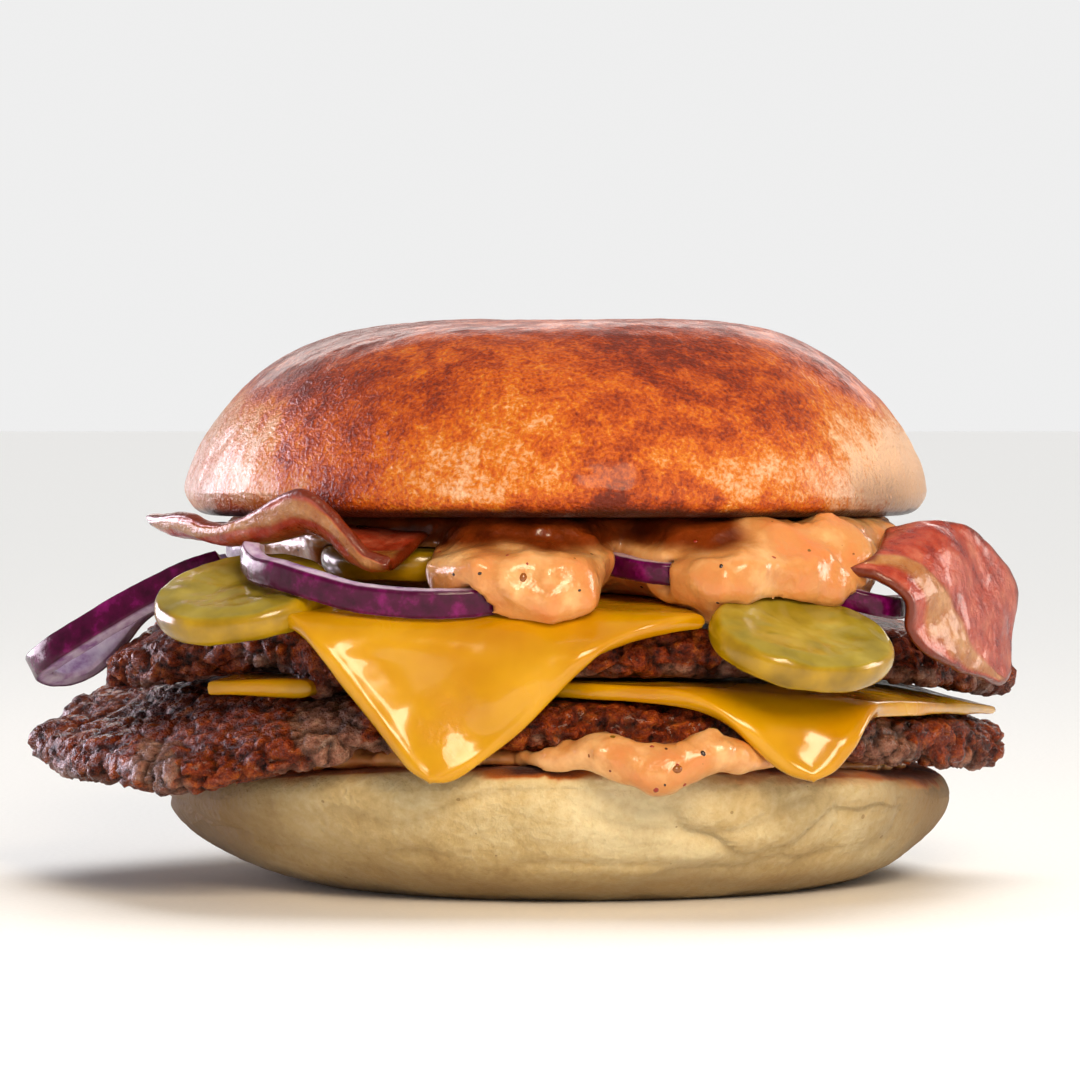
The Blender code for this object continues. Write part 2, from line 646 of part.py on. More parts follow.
def make_bacons():
    """Two rashers: a crisp wavy one under the left of the crown, and a broad one that hangs out at the right."""
    return (
        make_bacon(
            "bacon_left",
            (
                (
                    (-56.6, -20.0, 51.6), (-51.5, -28.0, 52.2), (-46.5, -33.5, 51.0), (-42.0, -38.0, 52.0),
                    (-38.0, -42.5, 54.6), (-34.5, -46.0, 56.0), (-31.0, -47.6, 54.4), (-28.5, -48.6, 51.2),
                    (-25.5, -50.0, 48.2), (-22.3, -50.8, 46.6),
                ),
                (
                    (-54.6, -19.0, 50.4), (-50.3, -26.6, 49.4), (-45.2, -33.0, 48.6), (-40.6, -37.0, 49.0),
                    (-36.6, -40.5, 50.2), (-33.5, -43.2, 50.9), (-30.4, -45.2, 49.6), (-27.6, -46.6, 47.2),
                    (-24.8, -48.0, 45.8), (-21.8, -48.8, 45.8),
                ),
                (
                    (-47.0, -10.0, 49.8), (-43.6, -17.0, 49.8), (-39.0, -23.0, 49.8), (-35.0, -27.0, 50.0),
                    (-31.5, -30.5, 50.2), (-28.5, -33.2, 50.2), (-25.8, -35.2, 50.0), (-23.2, -37.0, 49.8),
                    (-20.4, -38.6, 49.6), (-17.4, -40.0, 49.4),
                ),
            ),
            6, 28, 21,
        ),
        make_bacon(
            "bacon_right",
            (
                (
                    (38.5, -42.5, 44.6), (43.5, -44.0, 43.6), (46.6, -43.4, 40.6), (46.8, -42.0, 36.6),
                    (50.0, -40.0, 33.2), (54.6, -34.6, 31.0), (60.6, -26.6, 28.4),
                ),
                (
                    (42.6, -39.6, 47.0), (48.4, -37.4, 46.4), (52.4, -35.0, 43.4), (54.2, -33.2, 39.6),
                    (56.4, -31.4, 36.0), (58.8, -28.4, 32.6), (61.2, -25.2, 28.8),
                ),
                (
                    (44.6, -29.0, 49.6), (51.6, -26.6, 50.8), (56.4, -23.0, 50.0), (60.6, -18.8, 45.6),
                    (63.4, -16.6, 41.4), (62.4, -19.0, 35.2), (61.8, -23.6, 29.6),
                ),
            ),
            8, 20, 23,
        ),
    )


def make_sauce_lower(*neighbours):
    """The sauce on the bottom bun: a thin layer, with rolls of it squeezed out at the front."""
    outline = lobed_outline(0.0500, ((270, 0.0015, 40),), rough=0.0010, seed=31)
    made = flat_cake(
        "sauce_lower", outline,
        lambda x, y: heel_cut(x, y) - 0.0006, lambda x, y: sagged(SAUCE_LOWER_TOP, LOWER_SAG, x, y) + 0.0006,
        0.0010, "burger_sauce", segments=44, flat_rings=3, rim_rings=2,
    )
    rolls = (
        (
            (-0.0040, -0.0500, 0.0204), (0.0004, -0.0546, 0.0206), (0.0044, -0.0562, 0.0218),
            (0.0084, -0.0574, 0.0202), (0.0134, -0.0580, 0.0190), (0.0174, -0.0574, 0.0200),
            (0.0200, -0.0560, 0.0218), (0.0236, -0.0544, 0.0206), (0.0290, -0.0500, 0.0204),
        ),
        (
            (-0.0440, -0.0330, 0.0172), (-0.0430, -0.0400, 0.0166), (-0.0380, -0.0450, 0.0172),
            (-0.0320, -0.0490, 0.0186), (-0.0260, -0.0520, 0.0198), (-0.0200, -0.0535, 0.0206),
            (-0.0130, -0.0500, 0.0206),
        ),
        (
            (-0.0080, 0.0500, 0.0204), (-0.0020, 0.0556, 0.0204), (0.0070, 0.0566, 0.0200),
            (0.0150, 0.0545, 0.0204), (0.0220, 0.0490, 0.0204),
        ),
    )
    for stops, radius in zip(rolls, (0.0030, 0.0020, 0.0024)):
        path = smooth_path(stops, 18)
        tangents = np.gradient(path, axis=0)
        rings = []
        for k, (place, tangent) in enumerate(zip(path, tangents)):
            tangent = tangent / np.linalg.norm(tangent)
            side = np.cross(tangent, (0.0, 0.0, 1.0))
            side /= np.linalg.norm(side)
            over = np.cross(side, tangent)
            full = radius * (0.55 + 0.45 * math.sin(math.pi * k / 17.0)) * (1.0 + 0.10 * math.sin(k * 1.6))
            turns = np.linspace(0.0, 2.0 * math.pi, 8, endpoint=False)
            rings.append(np.array([place + full * (side * math.cos(t) + over * math.sin(t)) for t in turns]))
        roll = tube("roll", rings, "burger_sauce")
        boolean(made, "UNION", roll)
        remove(roll)
    clear_of(made, *neighbours)
    thin_out(made, 860)
    return made


# Where the upper sauce has slid down past the crown: direction in degrees, drop, half-width, reach out
SAUCE_LOBES = (
    (264, 0.0112, 14.0, 0.0114), (305, 0.0114, 19.5, 0.0114), (333, 0.0040, 8.0, 0.0060),
    (40, 0.0060, 12.0, 0.0075), (112, 0.0070, 9.0, 0.0080), (150, 0.0050, 8.0, 0.0060), (205, 0.0020, 14.0, -0.0050),
)
SAUCE_RIM_HEIGHT = 0.0488
SAUCE_RECESS = 0.15


def blocky(angle, middle, half_width):
    """Like bump, but flat in its middle and steep at its sides."""
    away = (angle - middle + 180.0) % 360.0 - 180.0
    return np.exp(-((away / half_width) ** 6))


def make_sauce_upper(*neighbours):
    """The sauce between the toppings and the crown, with thick lobes of it hanging at the front."""

    def outline(angles):
        degrees = np.degrees(angles)
        ring = np.stack([np.cos(angles), np.sin(angles), np.zeros_like(angles)], axis=1)
        lobes = sum(reach * blocky(degrees, middle, width) for middle, drop, width, reach in SAUCE_LOBES)
        return SAUCE_UPPER_RADIUS + lobes + 0.0008 * uneven(ring, 0.16, 41)

    def lower(x, y):
        degrees = np.degrees(np.arctan2(y, x))
        drop = sum(fall * blocky(degrees, middle, width) for middle, fall, width, reach in SAUCE_LOBES)
        rim = SAUCE_RIM_HEIGHT - drop
        inside = sagged(TOPPING_BASE, UPPER_SAG, x, y)
        return inside + (rim - inside) * smoothstep(0.036, 0.047, np.hypot(x, y))

    def upper(x, y):
        return sagged(CROWN_CUT, CROWN_SAG, x, y) - GAP * 1.5

    made = flat_cake(
        "sauce_upper", outline, lower, upper, 0.0046, "burger_sauce", segments=96, flat_rings=4, rim_rings=7,
    )
    for vertex in made.data.vertices:
        degrees = math.degrees(math.atan2(vertex.co.y, vertex.co.x)) % 360.0
        high = smoothstep(0.0460, 0.0485, vertex.co.z) * smoothstep(0.040, 0.048, vertex.co.xy.length)
        inset = 1.0 - SAUCE_RECESS * float(high) * float(blocky(degrees, 268.0, 34.0))
        vertex.co.x *= inset
        vertex.co.y *= inset

    def swirls(places, normals):
        side = smoothstep(0.9, 0.2, np.abs(normals[:, 2])) * smoothstep(0.040, 0.046, np.hypot(*places.T[:2]))
        return side * uneven(places, 0.008, 42) * 0.0012

    push_out(made, swirls)
    clear_of(made, *neighbours)
    thin_out(made, 1300)
    return made


def main():
    for made in list(bpy.data.objects):
        bpy.data.objects.remove(made)
    make_materials()
    heel = make_heel()
    crown = make_crown()
    patty_lower = make_patty(
        "patty_lower", PATTY_LOWER_BASE, LOWER_BASE_SAG, PATTY_LOWER_TOP, LOWER_SAG,
        PATTY_LOWER_RADIUS, PATTY_LOWER_LOBES, PATTY_LOWER_DROOPS, (), 11,
    )
    patty_upper = make_patty(
        "patty_upper", PATTY_UPPER_BASE, UPPER_BASE_SAG, PATTY_UPPER_TOP, UPPER_SAG,
        PATTY_UPPER_RADIUS, PATTY_UPPER_LOBES, PATTY_UPPER_DROOPS, SETTLED, 13,
    )
    cheeses = make_cheeses()
    pickles = make_pickles()
    onions = make_onions()
    bacons = make_bacons()
    clear_of(cheeses[0], pickles[0], pickles[2])
    make_sauce_lower(heel, patty_lower, cheeses[1])
    make_sauce_upper(crown, patty_upper, cheeses[0], *pickles, *onions, *bacons)


main()
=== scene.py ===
"""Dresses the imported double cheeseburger: every layer gets its real surface and material, on a pale stage.

Metres, +Z up. The origin is the middle of the flat spot that the bottom bun rests on, and -Y is the front.
"""

import math

import bmesh
import bpy
import numpy as np
from bpy.props import FloatProperty, FloatVectorProperty, IntProperty, PointerProperty
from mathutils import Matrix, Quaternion, Vector, noise
from mathutils.bvhtree import BVHTree


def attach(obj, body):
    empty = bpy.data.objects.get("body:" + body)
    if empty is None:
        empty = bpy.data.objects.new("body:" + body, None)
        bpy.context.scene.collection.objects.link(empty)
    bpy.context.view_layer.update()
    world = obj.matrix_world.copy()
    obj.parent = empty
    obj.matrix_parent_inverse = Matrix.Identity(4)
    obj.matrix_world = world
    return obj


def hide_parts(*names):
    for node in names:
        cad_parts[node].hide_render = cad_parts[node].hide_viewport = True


bl_info = {
    "name": "Double Cheeseburger",
    "version": (1, 0, 0),
    "blender": (4, 5, 0),
    "location": "View3D > Sidebar > Burger",
    "description": "Builds the surfaces, materials and stage of a double cheeseburger around its solids",
    "category": "Object",
}

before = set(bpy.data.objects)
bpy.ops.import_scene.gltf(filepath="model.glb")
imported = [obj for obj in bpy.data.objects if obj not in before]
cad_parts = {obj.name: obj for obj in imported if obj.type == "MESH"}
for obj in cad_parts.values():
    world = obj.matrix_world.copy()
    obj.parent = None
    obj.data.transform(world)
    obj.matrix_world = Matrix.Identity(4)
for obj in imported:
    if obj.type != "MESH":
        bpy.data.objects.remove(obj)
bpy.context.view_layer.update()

# The stack, as heights above the table in the middle of the burger, as in the solids
HEEL_TOP = 0.0195
PATTY_LOWER_BASE = 0.0213
PATTY_LOWER_TOP = 0.0288
CHEESE_LOWER_BASE = 0.0292
PATTY_UPPER_BASE = 0.0318
PATTY_UPPER_TOP = 0.0392
CHEESE_UPPER_BASE = 0.0396
CROWN_CUT = 0.0522
CROWN_TOP = 0.0788

HEEL_RADIUS = 0.0550
HEEL_CUT_EDGE = 0.0026
HEEL_POWER = 5.2
HEEL_RISE_POWER = 1.5
HEEL_OVERSHOOT = 0.0018
CROWN_RADIUS = 0.0522
CROWN_CUT_EDGE = 0.0032
CROWN_POWER = 3.9
CROWN_RISE_POWER = 1.5
PATTY_LOWER_RADIUS = 0.0540
PATTY_UPPER_RADIUS = 0.0522
PATTY_RIM = 0.0036
CHEESE_THICKNESS = 0.0022
CHEESE_BEND = 0.0048
CHEESE_CROWDING = 1.3
PICKLE_THICKNESS = 0.0040
BACON_THICKNESS = 0.0016

# How far a layer sinks this far from the middle: at its left end, at its right end, and at front and back.
# The powers say how late it starts to sink to the left and to the right.
SAG_REACH = 0.055
SAG_POWER = 2.2
HEEL_SAG = (0.0052, 0.0050, 0.0004, 2.2)
LOWER_BASE_SAG = (0.0006, 0.0052, 0.0003, 4.5)
LOWER_SAG = (0.0006, 0.0052, 0.0014, 4.5)
UPPER_BASE_SAG = (0.0012, 0.0044, 0.0014, 5.5)
UPPER_SAG = (0.0015, 0.0044, 0.0021, 5.5)
CROWN_SAG = (0.0012, 0.0012, 0.0000, 2.2)
# Where nothing but air would lie under the upper patty it has settled: x, y, half-width and depth
SETTLED = ((-0.044, 0.014, 0.012, 0.0014), (0.058, 0.002, 0.010, 0.0009))

# Lobes of an outline: direction in degrees (0 is +X, 270 is the front), reach and half-width in degrees
HEEL_LOBES = ((270, -0.0010, 40), (0, 0.0004, 20))
CROWN_LOBES = ((190, -0.0001, 30), (0, -0.0003, 30))
PATTY_LOWER_LOBES = (
    (180, 0.0195, 28), (222, 0.0155, 20), (342, 0.0062, 22), (2, 0.0074, 9), (302, 0.0024, 14),
    (126, 0.0055, 22), (60, 0.0030, 16),
)
PATTY_UPPER_LOBES = (
    (197, 0.0118, 14), (167, 0.0050, 18), (218, 0.0036, 16), (3, 0.0118, 13), (340, 0.0050, 14),
    (140, 0.0040, 18), (74, 0.0030, 20),
)
# Places where a patty hangs down past the bun: direction in degrees, drop and half-width in degrees
PATTY_LOWER_DROOPS = ((222, 0.0056, 26), (190, 0.0036, 18), (165, -0.0006, 14), (345, -0.0004, 24))
PATTY_UPPER_DROOPS = ((200, 0.0044, 22),)
DROOP_START, DROOP_END = 0.048, 0.070
# The crumbs of the meat, large, middling and small, and how deep its cracks and folds are
CRUMB_SIZES = (0.0066, 0.0042, 0.0019)
CRUMB_RELIEF = 0.0026
CRACK_DEPTHS = (0.0008, 0.0003)
FOLD_RELIEF = (0.0012, 0.0006)
# Places in front where the sear broke off and grey-pink crumbs show: x, z and half-width
BARE_SPOTS = (
    (-0.0310, 0.0245, 0.0050), (0.0240, 0.0213, 0.0040), (0.0450, 0.0204, 0.0042), (0.0255, 0.0305, 0.0050),
    (-0.0540, 0.0190, 0.0040),
)
# Lumps that hang from the upper patty: x, y, half-width and drop
UPPER_HANGS = (
    (-0.0320, -0.0410, 0.0040, 0.0042), (-0.0400, -0.0130, 0.0120, 0.0024),
    (-0.0250, -0.0270, 0.0080, 0.0020),
)

# Melted cheese: how far its front corner draws back and over what share of the slice, how steeply it hangs,
# the lip along what hangs (how much thicker, where, how wide), and where its far end thins and by how much
CHEESE_CORNER_MELT, CHEESE_CORNER_SHARE = 0.024, 0.06
CHEESE_STEEPEST = math.radians(84.0)
CHEESE_LIP = (0.30, 0.055, 0.030)
CHEESE_THIN_END = (0.044, 0.056, 0.35)
# The melted corners of cheese: how their edges are drawn in, and the ridges on what hangs, as cheese_slice
# says
UPPER_HOLLOWS = (("right", 0.62, 0.26, 0.056), ("left", 0.50, 0.25, -0.010))
UPPER_RIDGES = (
    (((-8.4, 28.4), (1.0, 34.2), (9.0, 37.6), (18.4, 38.0)), 0.0014, 0.0034),
    (((-24.0, 36.0), (-19.0, 29.0)), -0.0009, 0.0045),
    (((-17.6, 15.0), (-15.4, 20.0)), 0.0013, 0.0036),
)
LOWER_HOLLOWS = (("left", 0.28, 0.14, 0.026), ("right", 0.30, 0.14, 0.016))
LOWER_RIDGES = ((((34.0, 17.0), (38.0, 23.5)), 0.0010, 0.0034),)

# Where the rim of the bottom bun is scorched most, in degrees round it
HEEL_SCORCH_AT = -93.0

# Folds in the front of the bottom bun, each a line of (x, z) in millimetres, with its depth and half-width
HEEL_FOLDS = (
    (
        ((15.9, 14.2), (18.2, 11.1), (21.3, 10.5), (23.5, 8.1), (26.1, 7.3), (30.2, 7.8), (33.5, 9.8),
         (37.0, 12.9), (41.6, 12.2)),
        0.0011, 0.0014,
    ),
    (((14.6, 4.4), (18.7, 4.6), (23.5, 5.2), (29.4, 5.8), (36.0, 6.6)), 0.0007, 0.0012),
    (((-44.0, 9.0), (-36.0, 6.6), (-27.0, 6.2), (-18.0, 7.6)), 0.0006, 0.0016),
)

# Where the settings for the depth of crags and folds start: there the reliefs have the depths given here
USUAL_DEPTH = 0.0010

# The photograph's viewpoint
VIEW_TARGET = (-0.0024, 0.0, 0.0475)
PIXELS_PER_MM = 7.07
IMAGE_SIDE = 1080
SENSOR_WIDTH = 36.0
BACKDROP_GLOW = 0.86


def linear(hex_colour):
    """An sRGB hex colour as linear red, green, blue and full alpha."""
    channels = [int(hex_colour[i : i + 2], 16) / 255.0 for i in (1, 3, 5)]
    return (*[c / 12.92 if c <= 0.04045 else ((c + 0.055) / 1.055) ** 2.4 for c in channels], 1.0)


def per_mm(size):
    """The scale that makes a pattern repeat every so many millimetres."""
    return 1000.0 / size


def smoothstep(low, high, value):
    """0 below low, 1 above high, with a soft rise between them."""
    t = np.clip((value - low) / (high - low), 0.0, 1.0)
    return t * t * (3.0 - 2.0 * t)


def bump(angle, middle, half_width):
    """A soft hill over an angle in degrees, 1 in its middle, that closes round the circle."""
    away = (angle - middle + 180.0) % 360.0 - 180.0
    return np.exp(-((away / half_width) ** 2))


def uneven(points, size, seed):
    """Smooth noise from about -1 to 1 at each point, with lumps of that size."""
    offset = Vector((seed * 7.31, seed * 3.17, seed * 5.73))
    return np.array([noise.noise(Vector(p) / size + offset) for p in points])


def crumbs(points, size, seed):
    """0 to about 1: high in the middle of each crumb of that size and low in the cracks between crumbs."""
    offset = Vector((seed * 2.9, seed * 6.1, seed * 4.3))
    near = [noise.voronoi(Vector(p) / size + offset)[0][0] for p in points]
    return 1.0 - np.array(near)


def cells(points, size, seed):
    """Two arrays for a field of lumps of that size: how far each point is from its lump's middle, and from
    the crack to the next lump, both in lumps."""
    offset = Vector((seed * 1.7, seed * 4.9, seed * 3.3))
    found = np.array([noise.voronoi(Vector(p) / size + offset)[0][:2] for p in points])
    return found[:, 0], found[:, 1] - found[:, 0]


def sagged(height, sag, x, y):
    """The height of a layer at a place: its height in the middle, less what its ends sink."""
    left_drop, right_drop, along_drop, left_power = sag
    left = np.maximum(-np.asarray(x) / SAG_REACH, 0.0) ** left_power
    right = np.maximum(np.asarray(x) / SAG_REACH, 0.0) ** SAG_POWER
    along = np.abs(np.asarray(y) / SAG_REACH) ** SAG_POWER
    return height - left_drop * left - right_drop * right - along_drop * along


def lobed_outline(radius, lobes, rough=0.0, seed=0, torn=0.0):
    """A function of the angle in radians: a circle with lobes, torn by noise of the given depths."""

    def outline(angles):
        degrees = np.degrees(angles)
        reach = radius + sum(far * bump(degrees, middle, width) for middle, far, width in lobes)
        if rough:
            ring = np.stack([np.cos(angles), np.sin(angles), np.zeros_like(angles)], axis=1)
            reach = reach + rough * (uneven(ring, 0.16, seed) + 0.6 * uneven(ring, 0.07, seed + 1))
            reach = reach + torn * uneven(ring, 0.035, seed + 2)
        return reach

    return outline


def smooth_path(stops, count):
    """Points evenly spread in number along a Catmull-Rom curve through the stops."""
    stops = np.array(stops, float)
    padded = np.concatenate([[2 * stops[0] - stops[1]], stops, [2 * stops[-1] - stops[-2]]])
    path = []
    for u in np.linspace(0.0, len(stops) - 1.0, count):
        k = min(int(u), len(stops) - 2)
        t = u - k
        a, b, c, d = padded[k : k + 4]
        path.append(
            0.5 * (2 * b + (c - a) * t + (2 * a - 5 * b + 4 * c - d) * t**2 + (3 * b - a - 3 * c + d) * t**3)
        )
    return np.array(path)


def distance_to_line(x, z, line):
    """Distance of each (x, z) to a line of points in millimetres, and its side of it (+1 is above)."""
    best = np.full(len(x), 1.0)
    side = np.zeros(len(x))
    stops = np.array(line) * 0.001
    for (ax, az), (bx, bz) in zip(stops[:-1], stops[1:]):
        dx, dz = bx - ax, bz - az
        t = np.clip(((x - ax) * dx + (z - az) * dz) / (dx * dx + dz * dz), 0.0, 1.0)
        away_x, away_z = x - ax - t * dx, z - az - t * dz
        away = np.hypot(away_x, away_z)
        nearer = away < best
        side = np.where(nearer, np.sign(away_z), side)
        best = np.where(nearer, away, best)
    return best, side


def mesh_object(name, points, faces):
    """An object from points and faces, shaded smooth, with faces pointing out."""
    mesh = bpy.data.meshes.new(name)
    mesh.from_pydata([tuple(p) for p in points], [], faces)
    work = bmesh.new()
    work.from_mesh(mesh)
    bmesh.ops.recalc_face_normals(work, faces=work.faces)
    work.to_mesh(mesh)
    work.free()
    mesh.shade_smooth()
    made = bpy.data.objects.new(name, mesh)
    bpy.context.scene.collection.objects.link(made)
    return made


def places_of(made):
    """The points of a mesh as an array."""
    flat = np.empty(len(made.data.vertices) * 3, np.float32)
    made.data.vertices.foreach_get("co", flat)
    return flat.reshape(-1, 3).astype(float)


def normals_of(made):
    """The normals at the points of a mesh as an array."""
    flat = np.empty(len(made.data.vertices) * 3, np.float32)
    made.data.vertex_normals.foreach_get("vector", flat)
    return flat.reshape(-1, 3).astype(float)


def place(made, places):
    """Puts the points of a mesh at these places."""
    made.data.vertices.foreach_set("co", places.astype(np.float32).ravel())
    made.data.update()


def push_out(made, depth):
    """Moves each point along its normal by what depth says for all the points at once."""
    places, normals = places_of(made), normals_of(made)
    place(made, places + normals * depth(places, normals)[:, None])


def paint(made, name, values):
    """Keeps a number at every point of the mesh, for the material to read."""
    layer = made.data.attributes.new(name, "FLOAT", "POINT")
    layer.data.foreach_set("value", np.asarray(values, np.float32))


def bake(made):
    """Turns an object's modifiers into its mesh."""
    graph = bpy.context.evaluated_depsgraph_get()
    mesh = bpy.data.meshes.new_from_object(made.evaluated_get(graph))
    made.modifiers.clear()
    old = made.data
    made.data = mesh
    bpy.data.meshes.remove(old)
    mesh.name = made.name
    mesh.shade_smooth()


def remesh(made, size, smoothing):
    """Covers the mesh with even faces of that size, then smooths it that many times."""
    modifier = made.modifiers.new("Remesh", "REMESH")
    modifier.mode = "VOXEL"
    modifier.voxel_size = size
    if smoothing:
        soften = made.modifiers.new("Smooth", "SMOOTH")
        soften.iterations = smoothing
        soften.factor = 0.5
    bake(made)


def copy_of(cad_node, name):
    """A new object with the form of a CAD node, its points welded."""
    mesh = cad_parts[cad_node].data.copy()
    mesh.materials.clear()
    work = bmesh.new()
    work.from_mesh(mesh)
    bmesh.ops.remove_doubles(work, verts=work.verts, dist=1e-6)
    work.to_mesh(mesh)
    work.free()
    made = bpy.data.objects.new(name, mesh)
    bpy.context.scene.collection.objects.link(made)
    return made


def take_over(made, material, finish, *cad_nodes):
    """Gives a finished mesh its material, and lets it stand for its CAD nodes."""
    made.data.materials.clear()
    made.data.materials.append(material)
    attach(made, "root")
    if cad_nodes:
        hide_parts(*cad_nodes)
    return made


def grid_faces(rows, columns, closed):
    """Faces of a grid of points, rows by columns. closed joins the last column to the first."""
    faces = []
    for r in range(rows - 1):
        for c in range(columns if closed else columns - 1):
            following = (c + 1) % columns
            here, above = r * columns, (r + 1) * columns
            faces.append((here + c, here + following, above + following, above + c))
    return faces


def stacked_rings(name, rings):
    """A closed solid from rings of points, first and last ring shrunk to one point each."""
    count = len(rings[0])
    inner = len(rings) - 2
    points = [*np.concatenate(rings[1:-1]), rings[0].mean(axis=0), rings[-1].mean(axis=0)]
    faces = grid_faces(inner, count, closed=True)
    first, last = inner * count, inner * count + 1
    top = (inner - 1) * count
    for i in range(count):
        following = (i + 1) % count
        faces.append((first, following, i))
        faces.append((last, top + i, top + following))
    return mesh_object(name, points, faces)


def flat_cake(name, outline, base, top, rim, segments, flat_rings, rim_rings):
    """A cake with round rims. base and top are functions of x and y, and rim is the rounding's reach."""
    angles = np.linspace(0.0, 2.0 * math.pi, segments, endpoint=False)
    reach = outline(angles)
    rings = []

    def ring(inset, share):
        """share is 0 on the base and 1 on the top."""
        radius = np.maximum(reach - rim, 0.0) * inset[0] + inset[1]
        x, y = radius * np.cos(angles), radius * np.sin(angles)
        rings.append(np.stack([x, y, base(x, y) * (1.0 - share) + top(x, y) * share], axis=1))

    flats = np.linspace(0.0, 1.0, flat_rings + 1)
    for f in flats[:-1]:
        ring((f, 0.0), 0.0)
    for a in np.linspace(-math.pi / 2, math.pi / 2, rim_rings + 1):
        ring((1.0, rim * math.cos(a)), 0.5 + 0.5 * math.sin(a))
    for f in flats[::-1][1:]:
        ring((f, 0.0), 1.0)
    return stacked_rings(name, rings)


def bun_half(name, outline, cut, edge, depth, powers, up, segments, face_rings, edge_rings, dome_rings):
    """Half a bun: a cut face, a rounded cut edge, and a dome that rises (up = 1) or sinks (up = -1) from
    it. powers are how boxy its outline from the side is: sideways, a function of the angle, and upwards."""
    sideways, upwards = powers
    angles = np.linspace(0.0, 2.0 * math.pi, segments, endpoint=False)
    reach = outline(angles)
    rings = []

    def ring(radius, rise):
        x, y = radius * np.cos(angles), radius * np.sin(angles)
        rings.append(np.stack([x, y, cut(x, y) + up * rise(x, y)], axis=1))

    for f in np.linspace(0.0, 1.0, face_rings + 1)[:-1]:
        ring((reach - edge) * f, lambda x, y: 0.0 * x)
    for a in np.linspace(0.0, math.pi / 2, edge_rings + 1)[:-1]:
        ring(reach - edge * (1.0 - math.sin(a)), lambda x, y, a=a: edge * (1.0 - math.cos(a)) + 0.0 * x)
    for a in np.linspace(0.0, math.pi / 2, dome_rings + 1):
        share = math.sin(a) ** (2.0 / upwards)
        inwards = abs(math.cos(a)) ** (2.0 / sideways(angles))
        ring(reach * inwards, lambda x, y, s=share: edge + depth(x, y) * s)
    if up < 0:
        rings.reverse()
    return stacked_rings(name, rings)


def sheet_solid(name, grid, thickness):
    """A closed solid around a grid of mid-surface points, rows by columns by 3, each with its thickness."""
    rows, columns = grid.shape[:2]
    normals = np.cross(np.gradient(grid, axis=0), np.gradient(grid, axis=1))
    normals /= np.linalg.norm(normals, axis=2, keepdims=True)
    half = thickness[..., None] / 2.0
    upper = (grid + normals * half).reshape(-1, 3)
    lower = (grid - normals * half).reshape(-1, 3)
    count = rows * columns
    faces = grid_faces(rows, columns, closed=False)
    faces += [tuple(count + i for i in reversed(face)) for face in faces]
    border = [(0, c) for c in range(columns - 1)] + [(r, columns - 1) for r in range(rows - 1)]
    border += [(rows - 1, c) for c in range(columns - 1, 0, -1)] + [(r, 0) for r in range(rows - 1, 0, -1)]
    ids = [r * columns + c for r, c in border]
    for a, b in zip(ids, ids[1:] + ids[:1]):
        faces.append((b, a, count + a, count + b))
    return mesh_object(name, np.concatenate([upper, lower]), faces)


def edge_rounding(rows, columns, reach):
    """1 inside a grid, and down in a quarter circle at its border. reach is a share of the grid."""
    u = np.linspace(0.0, 1.0, rows)[:, None]
    v = np.linspace(0.0, 1.0, columns)[None, :]
    inside = np.minimum(np.minimum(u, 1.0 - u), np.minimum(v, 1.0 - v)) / reach
    inside = np.clip(inside, 0.0, 1.0)
    return np.sqrt(1.0 - (1.0 - inside) ** 2) * 0.75 + 0.25


def node(tree, kind, inputs=None, stops=None, **settings):
    """Adds a node. settings are its own properties, inputs its sockets (a value, a hex colour or another
    node's output), and stops the (place, hex colour) pairs of a colour ramp."""
    made = tree.nodes.new(kind)
    for key, value in settings.items():
        setattr(made, key, value)
    for key, value in (inputs or {}).items():
        if isinstance(value, bpy.types.NodeSocket):
            tree.links.new(value, made.inputs[key])
        elif isinstance(value, str):
            made.inputs[key].default_value = linear(value)
        elif made.inputs[key].type == "RGBA":
            made.inputs[key].default_value = (*value[:3], 1.0)
        else:
            made.inputs[key].default_value = value
    if stops:
        ramp = made.color_ramp.elements
        while len(ramp) < len(stops):
            ramp.new(0.5)
        for element, (position, colour) in zip(ramp, stops):
            element.position = position
            element.color = linear(colour) if isinstance(colour, str) else (*colour[:3], 1.0)
    return made


def new_tree(name):
    """A material with an empty node tree, and the coordinates in metres that all its patterns use."""
    material = bpy.data.materials.new(name)
    material.use_nodes = True
    tree = material.node_tree
    tree.nodes.clear()
    return material, tree, node(tree, "ShaderNodeTexCoord").outputs["Object"]


def close_tree(tree, surface):
    """Joins a Principled shader with these sockets to the material's output."""
    shader = node(tree, "ShaderNodeBsdfPrincipled", surface)
    node(tree, "ShaderNodeOutputMaterial", {"Surface": shader.outputs[0]})


